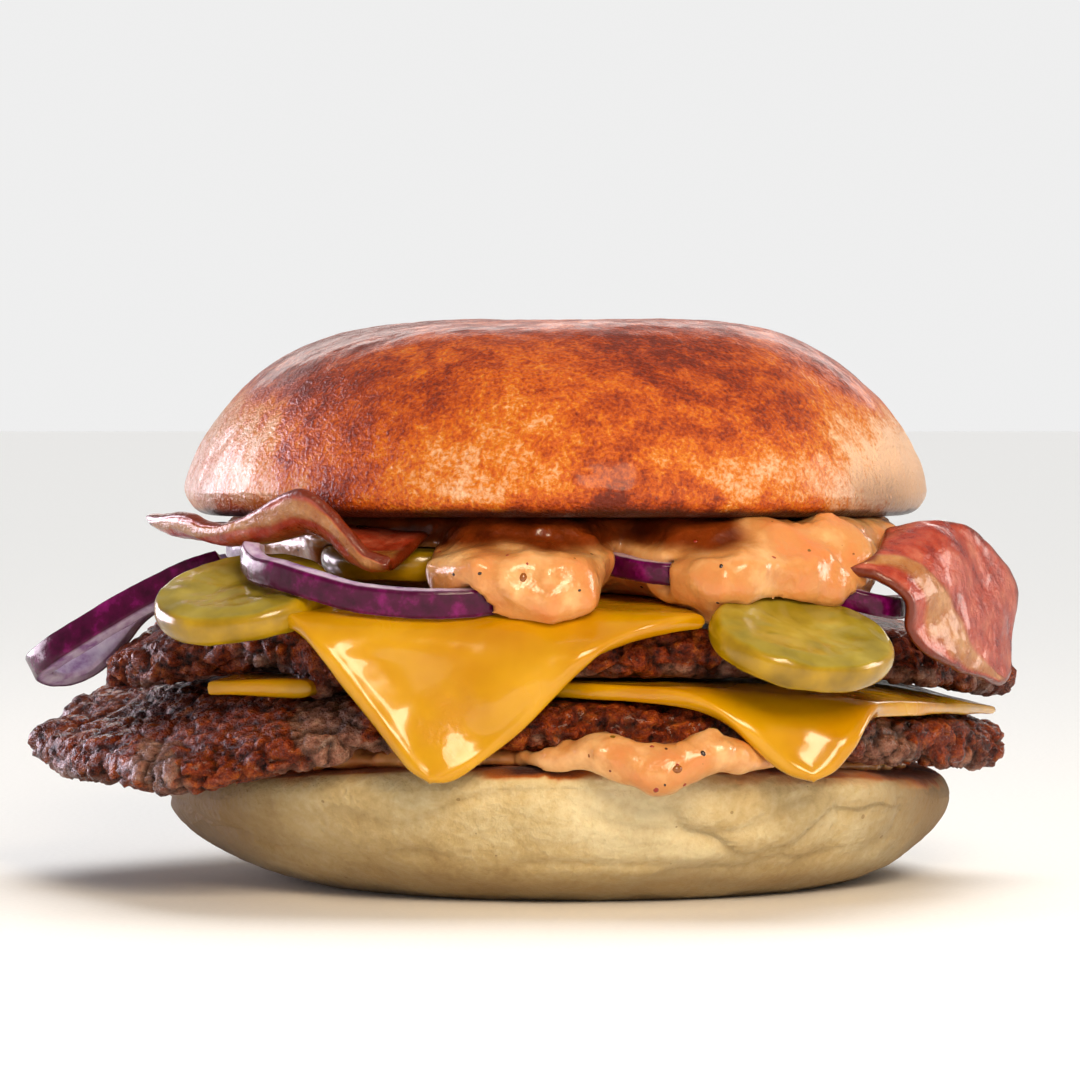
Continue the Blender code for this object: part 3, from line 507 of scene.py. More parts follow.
def glazed_crust(colours):
    """Egg-washed bread crust, golden to chestnut from the oven: a thin hard glaze over a grainy skin, so
    that light breaks into fine sparkles, with paler crust low on the right and at the right end, and pale
    streaks painted at the left end as the sheen of the lamp there."""
    material, tree, spot = new_tree("egg_washed_crust")
    clouds = node(
        tree, "ShaderNodeTexNoise",
        {"Vector": spot, "Scale": per_mm(26.0), "Detail": 3.0, "Roughness": 0.55, "Distortion": 0.5},
    )
    mottle = node(
        tree, "ShaderNodeTexNoise",
        {"Vector": spot, "Scale": per_mm(3.6), "Detail": 5.0, "Roughness": 0.68},
    )
    grain = node(
        tree, "ShaderNodeTexNoise",
        {"Vector": spot, "Scale": per_mm(0.55), "Detail": 2.0, "Roughness": 0.6},
    )
    browning = node(tree, "ShaderNodeAttribute", attribute_name="browning").outputs["Fac"]
    sum_one = node(
        tree, "ShaderNodeMath", {0: clouds.outputs[0], 1: 0.62, 2: browning}, operation="MULTIPLY_ADD",
    )
    sum_two = node(
        tree, "ShaderNodeMath", {0: mottle.outputs[0], 1: 0.62, 2: sum_one.outputs[0]},
        operation="MULTIPLY_ADD",
    )
    sum_three = node(
        tree, "ShaderNodeMath", {0: grain.outputs[0], 1: 0.46, 2: sum_two.outputs[0]},
        operation="MULTIPLY_ADD",
    )
    crust = node(
        tree, "ShaderNodeValToRGB", {"Fac": sum_three.outputs[0]},
        stops=(
            (0.50, colours.crust_pale), (0.69, "#d27812"), (0.78, colours.crust_gold), (0.90, "#963402"),
            (1.0, colours.crust_brown),
        ),
    )
    toast = node(tree, "ShaderNodeAttribute", attribute_name="toast").outputs["Fac"]
    toasted = node(tree, "ShaderNodeMix", {0: toast, 6: crust.outputs[0], 7: "#3a1204"}, data_type="RGBA")
    pits = node(tree, "ShaderNodeTexVoronoi", {"Vector": spot, "Scale": per_mm(0.75)})
    fine = node(tree, "ShaderNodeBump", {"Height": grain.outputs[0], "Strength": 0.9, "Distance": 0.00045})
    rough_skin = node(
        tree, "ShaderNodeBump",
        {
            "Height": pits.outputs["Distance"], "Strength": 0.35, "Distance": 0.00022,
            "Normal": fine.outputs[0],
        },
    )
    gloss = node(
        tree, "ShaderNodeMapRange",
        {"Value": mottle.outputs[0], "From Min": 0.3, "From Max": 0.7, "To Min": 0.30, "To Max": 0.48},
    )
    close_tree(tree, {
        "Base Color": toasted.outputs[2], "Roughness": gloss.outputs[0], "Normal": rough_skin.outputs[0],
        "Specular IOR Level": 0.26, "Coat Weight": 0.15, "Coat Roughness": 0.11, "Coat IOR": 1.45,
        "Subsurface Weight": 0.04, "Subsurface Scale": 0.0015, "Subsurface Radius": (1.0, 0.4, 0.1),
    })
    return material


def soft_crust(colours):
    """Unglazed bread crust from a baking tin: pale, dull and floury like skin, with a fine dimpled grain,
    faint brown freckles, and a scorched line where its cut face met the griddle. Painted shade darkens it
    towards both ends, low down, and in its creases and folds."""
    material, tree, spot = new_tree("pale_bread_crust")
    clouds = node(
        tree, "ShaderNodeTexNoise",
        {"Vector": spot, "Scale": per_mm(18.0), "Detail": 4.0, "Roughness": 0.6},
    )
    grain = node(
        tree, "ShaderNodeTexNoise",
        {"Vector": spot, "Scale": per_mm(1.3), "Detail": 5.0, "Roughness": 0.65},
    )
    fold = node(tree, "ShaderNodeAttribute", attribute_name="fold").outputs["Fac"]
    shade = node(
        tree, "ShaderNodeMath", {0: grain.outputs[0], 1: 0.45, 2: clouds.outputs[0]},
        operation="MULTIPLY_ADD",
    )
    dough = node(
        tree, "ShaderNodeValToRGB", {"Fac": shade.outputs[0]},
        stops=((0.42, "#a88a56"), (0.68, colours.dough), (0.92, "#eadcb2")),
    )
    # Painted shade: darker brown towards both ends of the bun and low down
    baked = node(tree, "ShaderNodeAttribute", attribute_name="baked").outputs["Fac"]
    darkened = node(tree, "ShaderNodeMix", {0: baked, 6: dough.outputs[0], 7: "#8a6c42"}, data_type="RGBA")
    # Painted shade in the creases and folds of the bun
    creased = node(tree, "ShaderNodeMix", {0: fold, 6: darkened.outputs[2], 7: "#9c7a46"}, data_type="RGBA")
    flecks = node(tree, "ShaderNodeTexVoronoi", {"Vector": spot, "Scale": per_mm(2.6)})
    chance = node(tree, "ShaderNodeSeparateColor", {"Color": flecks.outputs["Color"]})
    size = node(
        tree, "ShaderNodeMapRange",
        {"Value": chance.outputs[0], "From Min": 0.72, "From Max": 1.0, "To Min": 0.0, "To Max": 0.16},
    )
    fleck = node(
        tree, "ShaderNodeMath", {0: flecks.outputs["Distance"], 1: size.outputs[0]}, operation="LESS_THAN",
    )
    weak = node(tree, "ShaderNodeMath", {0: fleck.outputs[0], 1: 0.55}, operation="MULTIPLY")
    freckled = node(
        tree, "ShaderNodeMix", {0: weak.outputs[0], 6: creased.outputs[2], 7: "#7a5a2a"}, data_type="RGBA",
    )
    toast = node(tree, "ShaderNodeAttribute", attribute_name="toast").outputs["Fac"]
    scorch = node(
        tree, "ShaderNodeValToRGB", {"Fac": toast},
        stops=((0.10, "#d9a35c"), (0.45, "#a8581c"), (0.85, "#3c1406")),
    )
    toasted = node(
        tree, "ShaderNodeMapRange", {"Value": toast, "From Min": 0.05, "From Max": 0.45},
        interpolation_type="SMOOTHSTEP",
    )
    colour = node(
        tree, "ShaderNodeMix", {0: toasted.outputs[0], 6: freckled.outputs[2], 7: scorch.outputs[0]},
        data_type="RGBA",
    )
    pores = node(tree, "ShaderNodeTexVoronoi", {"Vector": spot, "Scale": per_mm(1.1)})
    fine = node(tree, "ShaderNodeBump", {"Height": grain.outputs[0], "Strength": 0.8, "Distance": 0.00065})
    dimples = node(
        tree, "ShaderNodeBump",
        {
            "Height": pores.outputs["Distance"], "Strength": 0.30, "Distance": 0.00030,
            "Normal": fine.outputs[0],
        },
    )
    close_tree(tree, {
        "Base Color": colour.outputs[2], "Roughness": 0.78, "Normal": dimples.outputs[0],
        "Specular IOR Level": 0.3,
        "Subsurface Weight": 0.10, "Subsurface Scale": 0.0025, "Subsurface Radius": (1.0, 0.6, 0.3),
        "Sheen Weight": 0.08, "Sheen Roughness": 0.5,
    })
    return material


def seared_meat(colours):
    """Ground beef pressed on a hot griddle: a dark, greasy, crackled crust over crumbs of grey-pink meat,
    black where it is thin and scorched, with painted shade in the cracks between crumbs, wet with fat in its
    hollows."""
    material, tree, spot = new_tree("griddled_ground_beef")
    patches = node(
        tree, "ShaderNodeTexNoise", {"Vector": spot, "Scale": per_mm(9.0), "Detail": 4.0, "Roughness": 0.6},
    )
    flecks = node(
        tree, "ShaderNodeTexNoise", {"Vector": spot, "Scale": per_mm(1.6), "Detail": 6.0, "Roughness": 0.7},
    )
    crust = node(
        tree, "ShaderNodeValToRGB", {"Fac": flecks.outputs[0]},
        stops=(
            (0.36, "#300a04"), (0.46, colours.beef_crust), (0.55, "#a24416"), (0.65, colours.beef_caramel),
        ),
    )
    inside = node(
        tree, "ShaderNodeValToRGB", {"Fac": flecks.outputs[0]},
        stops=((0.34, "#6a382a"), (0.52, colours.beef_inside), (0.70, "#c8a08c")),
    )
    raw = node(tree, "ShaderNodeAttribute", attribute_name="pale").outputs["Fac"]
    mixed = node(tree, "ShaderNodeMath", {0: patches.outputs[0], 1: 0.9, 2: raw}, operation="MULTIPLY_ADD")
    share = node(
        tree, "ShaderNodeMapRange", {"Value": mixed.outputs[0], "From Min": 0.80, "From Max": 0.98},
        interpolation_type="SMOOTHSTEP",
    )
    meat = node(
        tree, "ShaderNodeMix", {0: share.outputs[0], 6: crust.outputs[0], 7: inside.outputs[0]},
        data_type="RGBA",
    )
    # This mask blackens the scorched tips and specks, and paints shade into the cracks between crumbs
    char = node(tree, "ShaderNodeAttribute", attribute_name="char").outputs["Fac"]
    burnt = node(tree, "ShaderNodeMix", {0: char, 6: meat.outputs[2], 7: "#140603"}, data_type="RGBA")
    fibres = node(
        tree, "ShaderNodeTexNoise",
        {"Vector": spot, "Scale": per_mm(0.55), "Detail": 2.0, "Roughness": 0.7},
    )
    fine = node(tree, "ShaderNodeBump", {"Height": flecks.outputs[0], "Strength": 1.0, "Distance": 0.00110})
    knobbly = node(
        tree, "ShaderNodeBump",
        {"Height": fibres.outputs[0], "Strength": 1.0, "Distance": 0.00060, "Normal": fine.outputs[0]},
    )
    gloss = node(
        tree, "ShaderNodeMapRange",
        {"Value": patches.outputs[0], "From Min": 0.35, "From Max": 0.65, "To Min": 0.16, "To Max": 0.40},
    )
    close_tree(tree, {
        "Base Color": burnt.outputs[2], "Roughness": gloss.outputs[0], "Normal": knobbly.outputs[0],
        "Specular IOR Level": 0.20, "Coat Weight": 0.10, "Coat Roughness": 0.04,
        "Subsurface Weight": 0.05, "Subsurface Scale": 0.0015, "Subsurface Radius": (1.0, 0.3, 0.2),
    })
    return material


def melted_cheese(colours):
    """Processed yellow cheese, melted and set again: smooth, waxy and slightly see-through, so that thin
    edges glow, with oily patches that mirror the lamps."""
    material, tree, spot = new_tree("melted_yellow_cheese")
    clouds = node(
        tree, "ShaderNodeTexNoise",
        {"Vector": spot, "Scale": per_mm(14.0), "Detail": 3.0, "Roughness": 0.5},
    )
    colour = node(
        tree, "ShaderNodeValToRGB", {"Fac": clouds.outputs[0]},
        stops=((0.30, "#be8000"), (0.50, colours.cheese), (0.72, "#daa404")),
    )
    oily = node(tree, "ShaderNodeAttribute", attribute_name="oily").outputs["Fac"]
    tinted = node(tree, "ShaderNodeMix", {0: oily, 6: colour.outputs[0], 7: "#cc8e1e"}, data_type="RGBA")
    beads = node(
        tree, "ShaderNodeTexNoise", {"Vector": spot, "Scale": per_mm(1.5), "Detail": 4.0, "Roughness": 0.6},
    )
    waves = node(tree, "ShaderNodeTexNoise", {"Vector": spot, "Scale": per_mm(7.0), "Detail": 2.0})
    beads_height = node(tree, "ShaderNodeMath", {0: beads.outputs[0], 1: oily}, operation="MULTIPLY")
    soft = node(tree, "ShaderNodeBump", {"Height": waves.outputs[0], "Strength": 0.35, "Distance": 0.0012})
    wet = node(
        tree, "ShaderNodeBump",
        {"Height": beads_height.outputs[0], "Strength": 0.6, "Distance": 0.0006, "Normal": soft.outputs[0]},
    )
    gloss = node(
        tree, "ShaderNodeMapRange",
        {"Value": clouds.outputs[0], "From Min": 0.3, "From Max": 0.7, "To Min": 0.16, "To Max": 0.30},
    )
    close_tree(tree, {
        "Base Color": tinted.outputs[2], "Roughness": gloss.outputs[0], "Normal": wet.outputs[0],
        "Specular IOR Level": 0.3, "Coat Weight": 0.42, "Coat Roughness": 0.05,
        "Subsurface Weight": 0.18, "Subsurface Scale": 0.0018, "Subsurface Radius": (1.0, 0.5, 0.02),
    })
    return material


def burger_sauce(colours):
    """Mayonnaise sauce with ketchup, relish and mustard seed: thick, glossy and peach coloured, dotted with
    small red and dark flecks, and painted dark brown as shade where it lies in the shadow of the top bun."""
    material, tree, spot = new_tree("peach_burger_sauce")
    clouds = node(
        tree, "ShaderNodeTexNoise",
        {"Vector": spot, "Scale": per_mm(6.0), "Detail": 4.0, "Roughness": 0.55},
    )
    colour = node(
        tree, "ShaderNodeValToRGB", {"Fac": clouds.outputs[0]},
        stops=((0.30, "#d88448"), (0.50, colours.sauce), (0.70, "#f0bc80")),
    )
    flecks = node(tree, "ShaderNodeTexVoronoi", {"Vector": spot, "Scale": per_mm(2.4)})
    chance = node(tree, "ShaderNodeSeparateColor", {"Color": flecks.outputs["Color"]})
    size = node(
        tree, "ShaderNodeMapRange",
        {"Value": chance.outputs[0], "From Min": 0.70, "From Max": 1.0, "To Min": 0.0, "To Max": 0.17},
    )
    fleck = node(
        tree, "ShaderNodeMath", {0: flecks.outputs["Distance"], 1: size.outputs[0]}, operation="LESS_THAN",
    )
    fleck_colour = node(
        tree, "ShaderNodeValToRGB", {"Fac": chance.outputs[1]},
        stops=((0.30, "#2a1208"), (0.45, "#9c2a10"), (0.80, "#7a5a14")),
    )
    dotted = node(
        tree, "ShaderNodeMix", {0: fleck.outputs[0], 6: colour.outputs[0], 7: fleck_colour.outputs[0]},
        data_type="RGBA",
    )
    # Painted shade: dark brown where the sauce lies in the shadow of the top bun
    soaked = node(tree, "ShaderNodeAttribute", attribute_name="soaked").outputs["Fac"]
    soak_colour = node(
        tree, "ShaderNodeValToRGB", {"Fac": clouds.outputs[0]},
        stops=((0.30, "#4c1802"), (0.70, "#964010")),
    )
    stained = node(
        tree, "ShaderNodeMix", {0: soaked, 6: dotted.outputs[2], 7: soak_colour.outputs[0]},
        data_type="RGBA",
    )
    lumps = node(tree, "ShaderNodeTexNoise", {"Vector": spot, "Scale": per_mm(2.2), "Detail": 3.0})
    soft = node(tree, "ShaderNodeBump", {"Height": lumps.outputs[0], "Strength": 0.45, "Distance": 0.0009})
    bits = node(
        tree, "ShaderNodeBump",
        {
            "Height": flecks.outputs["Distance"], "Strength": 0.15, "Distance": 0.0006,
            "Normal": soft.outputs[0],
        },
    )
    close_tree(tree, {
        "Base Color": stained.outputs[2], "Roughness": 0.28, "Normal": bits.outputs[0],
        "Specular IOR Level": 0.4, "Coat Weight": 0.35, "Coat Roughness": 0.07,
        "Subsurface Weight": 0.20, "Subsurface Scale": 0.0020, "Subsurface Radius": (1.0, 0.5, 0.25),
    })
    return material


def seeds_and_relish(colours):
    """Whole mustard seeds, red pepper and dark herb flecks from the sauce, each wet with it: amber, red or
    nearly black, and glossy."""
    material, tree, spot = new_tree("mustard_seed_and_relish")
    kind = node(tree, "ShaderNodeAttribute", attribute_name="kind").outputs["Fac"]
    colour = node(
        tree, "ShaderNodeValToRGB", {"Fac": kind},
        stops=((0.1, colours.seed), (0.5, "#94260e"), (0.9, "#2c160c")),
    )
    skin = node(tree, "ShaderNodeTexNoise", {"Vector": spot, "Scale": per_mm(0.4), "Detail": 2.0})
    dull = node(tree, "ShaderNodeBump", {"Height": skin.outputs[0], "Strength": 0.3, "Distance": 0.0001})
    close_tree(tree, {
        "Base Color": colour.outputs[0], "Roughness": 0.25, "Normal": dull.outputs[0],
        "Specular IOR Level": 0.5,
        "Coat Weight": 0.4, "Coat Roughness": 0.08,
    })
    return material


def pickled_gherkin(colours):
    """A slice of gherkin from brine: a tight olive-green skin around wet, glassy flesh, paler in the middle
    and marked by its seeds."""
    material, tree, spot = new_tree("pickled_gherkin")
    clouds = node(
        tree, "ShaderNodeTexNoise", {"Vector": spot, "Scale": per_mm(5.0), "Detail": 3.0, "Roughness": 0.5},
    )
    flesh = node(
        tree, "ShaderNodeValToRGB", {"Fac": clouds.outputs[0]},
        stops=((0.22, "#7c6a0c"), (0.52, colours.pickle_flesh), (0.84, "#b8a444")),
    )
    skin = node(
        tree, "ShaderNodeValToRGB", {"Fac": clouds.outputs[0]},
        stops=((0.22, "#7a6000"), (0.52, colours.pickle_skin), (0.84, "#d0a800")),
    )
    rind = node(tree, "ShaderNodeAttribute", attribute_name="skin").outputs["Fac"]
    seeds = node(tree, "ShaderNodeAttribute", attribute_name="seeds").outputs["Fac"]
    seeded = node(tree, "ShaderNodeMix", {0: seeds, 6: flesh.outputs[0], 7: "#9c8a48"}, data_type="RGBA")
    colour = node(
        tree, "ShaderNodeMix", {0: rind, 6: seeded.outputs[2], 7: skin.outputs[0]}, data_type="RGBA",
    )
    wet = node(tree, "ShaderNodeBump", {"Height": clouds.outputs[0], "Strength": 0.3, "Distance": 0.0006})
    close_tree(tree, {
        "Base Color": colour.outputs[2], "Roughness": 0.22, "Normal": wet.outputs[0],
        "Specular IOR Level": 0.4, "Coat Weight": 0.3, "Coat Roughness": 0.05,
        "Subsurface Weight": 0.35, "Subsurface Scale": 0.0030, "Subsurface Radius": (0.7, 0.7, 0.12),
    })
    return material


def red_onion(colours):
    """Raw red onion: one layer of the bulb, with a thin purple skin outside, and crisp, watery white flesh
    that turns lilac towards it."""
    material, tree, spot = new_tree("raw_red_onion")
    streaks = node(
        tree, "ShaderNodeTexNoise", {"Vector": spot, "Scale": per_mm(2.5), "Detail": 4.0, "Roughness": 0.6},
    )
    purple = node(
        tree, "ShaderNodeValToRGB", {"Fac": streaks.outputs[0]},
        stops=((0.30, "#340122"), (0.52, colours.onion_skin), (0.78, "#86106a")),
    )
    white = node(
        tree, "ShaderNodeValToRGB", {"Fac": streaks.outputs[0]},
        stops=((0.30, "#9a70aa"), (0.52, colours.onion_flesh), (0.75, "#e2d8ea")),
    )
    skin = node(tree, "ShaderNodeAttribute", attribute_name="skin").outputs["Fac"]
    colour = node(
        tree, "ShaderNodeMix", {0: skin, 6: white.outputs[0], 7: purple.outputs[0]}, data_type="RGBA",
    )
    grain = node(
        tree, "ShaderNodeBump", {"Height": streaks.outputs[0], "Strength": 0.35, "Distance": 0.0004},
    )
    close_tree(tree, {
        "Base Color": colour.outputs[2], "Roughness": 0.22, "Normal": grain.outputs[0],
        "Specular IOR Level": 0.2, "Coat Weight": 0.12, "Coat Roughness": 0.06,
        "Subsurface Weight": 0.15, "Subsurface Scale": 0.0012, "Subsurface Radius": (1.0, 0.4, 0.8),
    })
    return material


def crisp_bacon(colours):
    """Fried streaky bacon: bands of rosy lean and cream fat along the rasher, tightened and browned at its
    edges, and shiny with its own fat."""
    material, tree, spot = new_tree("fried_streaky_bacon")
    mottle = node(
        tree, "ShaderNodeTexNoise",
        {"Vector": spot, "Scale": per_mm(4.0), "Detail": 5.0, "Roughness": 0.65},
    )
    lean = node(
        tree, "ShaderNodeValToRGB", {"Fac": mottle.outputs[0]},
        stops=((0.30, "#74140a"), (0.50, colours.bacon_lean), (0.72, "#c46c50")),
    )
    fat = node(
        tree, "ShaderNodeValToRGB", {"Fac": mottle.outputs[0]},
        stops=((0.30, "#944e20"), (0.50, colours.bacon_fat), (0.72, "#c4925e")),
    )
    band = node(tree, "ShaderNodeAttribute", attribute_name="fat").outputs["Fac"]
    streaky = node(
        tree, "ShaderNodeMix", {0: band, 6: lean.outputs[0], 7: fat.outputs[0]}, data_type="RGBA",
    )
    crisp = node(tree, "ShaderNodeAttribute", attribute_name="crisp").outputs["Fac"]
    browned = node(
        tree, "ShaderNodeMix", {0: crisp, 6: streaky.outputs[2], 7: colours.bacon_edge}, data_type="RGBA",
    )
    blisters = node(
        tree, "ShaderNodeTexNoise", {"Vector": spot, "Scale": per_mm(1.4), "Detail": 4.0, "Roughness": 0.6},
    )
    fine = node(
        tree, "ShaderNodeBump", {"Height": blisters.outputs[0], "Strength": 0.6, "Distance": 0.0006},
    )
    gloss = node(
        tree, "ShaderNodeMapRange",
        {"Value": mottle.outputs[0], "From Min": 0.3, "From Max": 0.7, "To Min": 0.22, "To Max": 0.42},
    )
    close_tree(tree, {
        "Base Color": browned.outputs[2], "Roughness": gloss.outputs[0], "Normal": fine.outputs[0],
        "Specular IOR Level": 0.4, "Coat Weight": 0.32, "Coat Roughness": 0.09,
        "Subsurface Weight": 0.15, "Subsurface Scale": 0.0015, "Subsurface Radius": (1.0, 0.4, 0.25),
    })
    return material


def matte_paper():
    """Smooth white card under the burger: even and dull, with a barely visible tooth."""
    material, tree, spot = new_tree("matte_white_card")
    tooth = node(tree, "ShaderNodeTexNoise", {"Vector": spot, "Scale": per_mm(0.8), "Detail": 2.0})
    colour = node(
        tree, "ShaderNodeValToRGB", {"Fac": tooth.outputs[0]}, stops=((0.3, "#f3f2f0"), (0.7, "#f8f7f5")),
    )
    close_tree(tree, {"Base Color": colour.outputs[0], "Roughness": 0.85, "Specular IOR Level": 0.2})
    return material


def heel_cut(x, y):
    """The height of the bottom bun's cut face."""
    return sagged(HEEL_TOP, HEEL_SAG, x, y)


def make_heel(sizes):
    """The bottom bun, with soft folds and a scorched cut edge."""
    made = bun_half(
        "bottom_bun", lobed_outline(HEEL_RADIUS, HEEL_LOBES), heel_cut, HEEL_CUT_EDGE,
        lambda x, y: heel_cut(x, y) - HEEL_CUT_EDGE + HEEL_OVERSHOOT,
        (lambda angles: HEEL_POWER + np.cos(angles), HEEL_RISE_POWER),
        -1, segments=380, face_rings=22, edge_rings=8, dome_rings=84,
    )
    places = places_of(made)
    creases = np.zeros(len(places))

    def folds(places, normals):
        """Soft creases all round, the folds in front, and a fine uneven skin."""
        side = smoothstep(0.5, -0.3, normals[:, 2]) * smoothstep(-0.98, -0.6, normals[:, 2])
        soft = uneven(places * (1.0, 1.0, 1.8), 0.016, 3) * 0.0009
        crease = np.abs(uneven(places * (1.0, 1.0, 2.2), 0.024, 8))
        fine = uneven(places, 0.0045, 9) * 0.00022 + uneven(places, 0.0020, 10) * 0.00010
        pushed = side * (soft - 0.0005 * smoothstep(0.16, 0.0, crease)) + fine
        # creases keeps painted shade for the material: darker in the soft creases, and in the front folds
        # below
        creases[:] = side * smoothstep(0.07, 0.0, crease) * 0.15
        front = smoothstep(0.0, -0.010, places[:, 1])
        wander = uneven(places, 0.006, 12) * 0.0012
        for line, depth, width in HEEL_FOLDS:
            away, above = distance_to_line(places[:, 0] + wander, places[:, 2] + wander, line)
            groove = 0.7 * np.exp(-((away / (1.3 * width)) ** 2))
            swell = np.exp(-((away / (3.2 * width)) ** 2)) * (above > 0)
            pushed += front * sizes.fold_depth / USUAL_DEPTH * depth * (0.7 * swell - groove)
            creases[:] = np.maximum(creases, front * groove * 0.4)
        return pushed

    push_out(made, folds)
    places = places_of(made)
    places[:, 2] = np.maximum(places[:, 2], 0.0)
    place(made, places)
    # The fold attribute is the painted shade of the creases and folds
    paint(made, "fold", creases)
    below = heel_cut(places[:, 0], places[:, 1]) - places[:, 2]
    out = np.hypot(places[:, 0], places[:, 1])
    ragged = uneven(places, 0.004, 14) * 0.0009 + uneven(places, 0.0013, 15) * 0.0005
    degrees = np.degrees(np.arctan2(places[:, 1], places[:, 0]))
    # Painted shade: the bun is darkened towards both ends and low down, where the light falls off, with a
    # little noise
    ends = np.maximum(smoothstep(0.036, 0.053, places[:, 0]), smoothstep(-0.026, -0.052, places[:, 0]))
    patchy = 0.12 * uneven(places, 0.010, 18)
    low = 0.75 * smoothstep(0.0075, 0.0015, places[:, 2] + 0.02 * patchy)
    paint(made, "baked", np.clip(np.maximum(ends, low) + patchy, 0.0, 1.0))
    here_and_there = 0.45 * smoothstep(-0.2, 0.5, uneven(places, 0.02, 16))
    strong = 0.16 + 0.84 * np.maximum(bump(degrees, HEEL_SCORCH_AT, 7.0), here_and_there)
    rim = smoothstep(0.0021, 0.0004, below + ragged) * smoothstep(0.048, 0.051, out)
    face = smoothstep(0.0007, 0.0002, below) * (0.5 + 0.3 * uneven(places, 0.006, 17))
    paint(made, "toast", np.clip(np.maximum(rim * strong, face), 0.0, 1.0))
    return made


def make_crown(sizes):
    """The top bun, with streaks pulled into its glaze at both ends."""

    def cut(x, y):
        """The height of its cut face."""
        return sagged(CROWN_CUT, CROWN_SAG, x, y)

    made = bun_half(
        "top_bun", lobed_outline(CROWN_RADIUS, CROWN_LOBES), cut, CROWN_CUT_EDGE,
        lambda x, y: CROWN_TOP - CROWN_CUT - CROWN_CUT_EDGE + 0.0 * x,
        (lambda angles: CROWN_POWER, CROWN_RISE_POWER), 1,
        segments=400, face_rings=16, edge_rings=10, dome_rings=84,
    )

    def dents(places, normals):
        """Broad dents, a fine grain, and streaks where the glaze ran down."""
        skin = smoothstep(-0.6, 0.2, normals[:, 2])
        broad = uneven(places, 0.030, 5) * 0.0010 + uneven(places, 0.012, 6) * 0.0003
        fine = uneven(places, 0.0030, 7) * 0.00010 + uneven(places, 0.0016, 8) * 0.00006
        steep = smoothstep(0.75, 0.35, normals[:, 2]) * smoothstep(0.028, 0.046, np.abs(places[:, 0]))
        streaks = uneven(places * (1.0, 1.0, 0.22), 0.0022, 9) * 0.00022 * sizes.glaze_streaks
        return skin * (broad + fine + steep * streaks)

    push_out(made, dents)
    places = places_of(made)
    above = places[:, 2] - cut(places[:, 0], places[:, 1])
    x, z = places[:, 0], places[:, 2]
    out = np.hypot(x, places[:, 1])
    pale_right = smoothstep(0.030, 0.050, x) * smoothstep(0.072, 0.060, z)
    pale_low = smoothstep(0.066, 0.057, z) * smoothstep(0.002, 0.030, x)
    golden = 0.30 * bump(x * 1000.0, -16.0, 13.0) * smoothstep(0.070, 0.060, z)
    dark_top = 0.07 * smoothstep(0.062, 0.076, z)
    scorch = 0.13 * smoothstep(0.0035, 0.0010, above + 0.5 * uneven(places, 0.004, 18) * 0.004)
    # Painted highlight: the left end is paled in streaks towards the pale crust colour, standing in for the
    # sheen of the lamp at the left
    pulled = uneven(places * (1.0, 1.0, 0.20), 0.0030, 21)
    pale_left = smoothstep(-0.030, -0.045, x + 0.005 * pulled) * smoothstep(0.074, 0.064, z)
    browning = dark_top + scorch - 0.42 * pale_right - 0.12 * pale_low - 0.4 * golden - 0.34 * pale_left
    paint(made, "browning", browning)
    ragged = uneven(places, 0.003, 11) * 0.0004
    line = smoothstep(0.0016, 0.0006, above + ragged) * smoothstep(0.044, 0.048, out)
    front = smoothstep(0.0, -0.01, places[:, 1])
    patch = front * bump(x * 1000.0, 44.0, 6.0) * smoothstep(0.0085, 0.0025, above)
    under = smoothstep(0.0006, 0.0, above) * 0.6
    paint(made, "toast", np.clip(np.maximum.reduce([line, 0.55 * patch, under]), 0.0, 1.0))
    return made


def droop(x, y, droops):
    """How far a patty's edge hangs down past the bun."""
    away = smoothstep(DROOP_START, DROOP_END, np.hypot(x, y))
    degrees = np.degrees(np.arctan2(y, x))
    return away * sum(fall * bump(degrees, middle, width) for middle, fall, width in droops)


def settled(x, y, settles):
    """How far the underside of a patty has sunk on to what lies below it."""
    return sum(
        depth * np.exp(-(((x - x0) / width) ** 2) - ((y - y0) / (2.0 * width)) ** 2)
        for x0, y0, width, depth in settles
    )


def hang_down(made, hangs):
    """Lets lumps of meat hang from the underside of a patty: x, y, half-width and drop of each."""
    places, normals = places_of(made), normals_of(made)
    for x, y, reach, drop in hangs:
        near = np.exp(-(((places[:, 0] - x) ** 2 + (places[:, 1] - y) ** 2) / reach**2))
        places[:, 2] -= drop * near * smoothstep(0.5, -0.5, normals[:, 2])
    place(made, places)


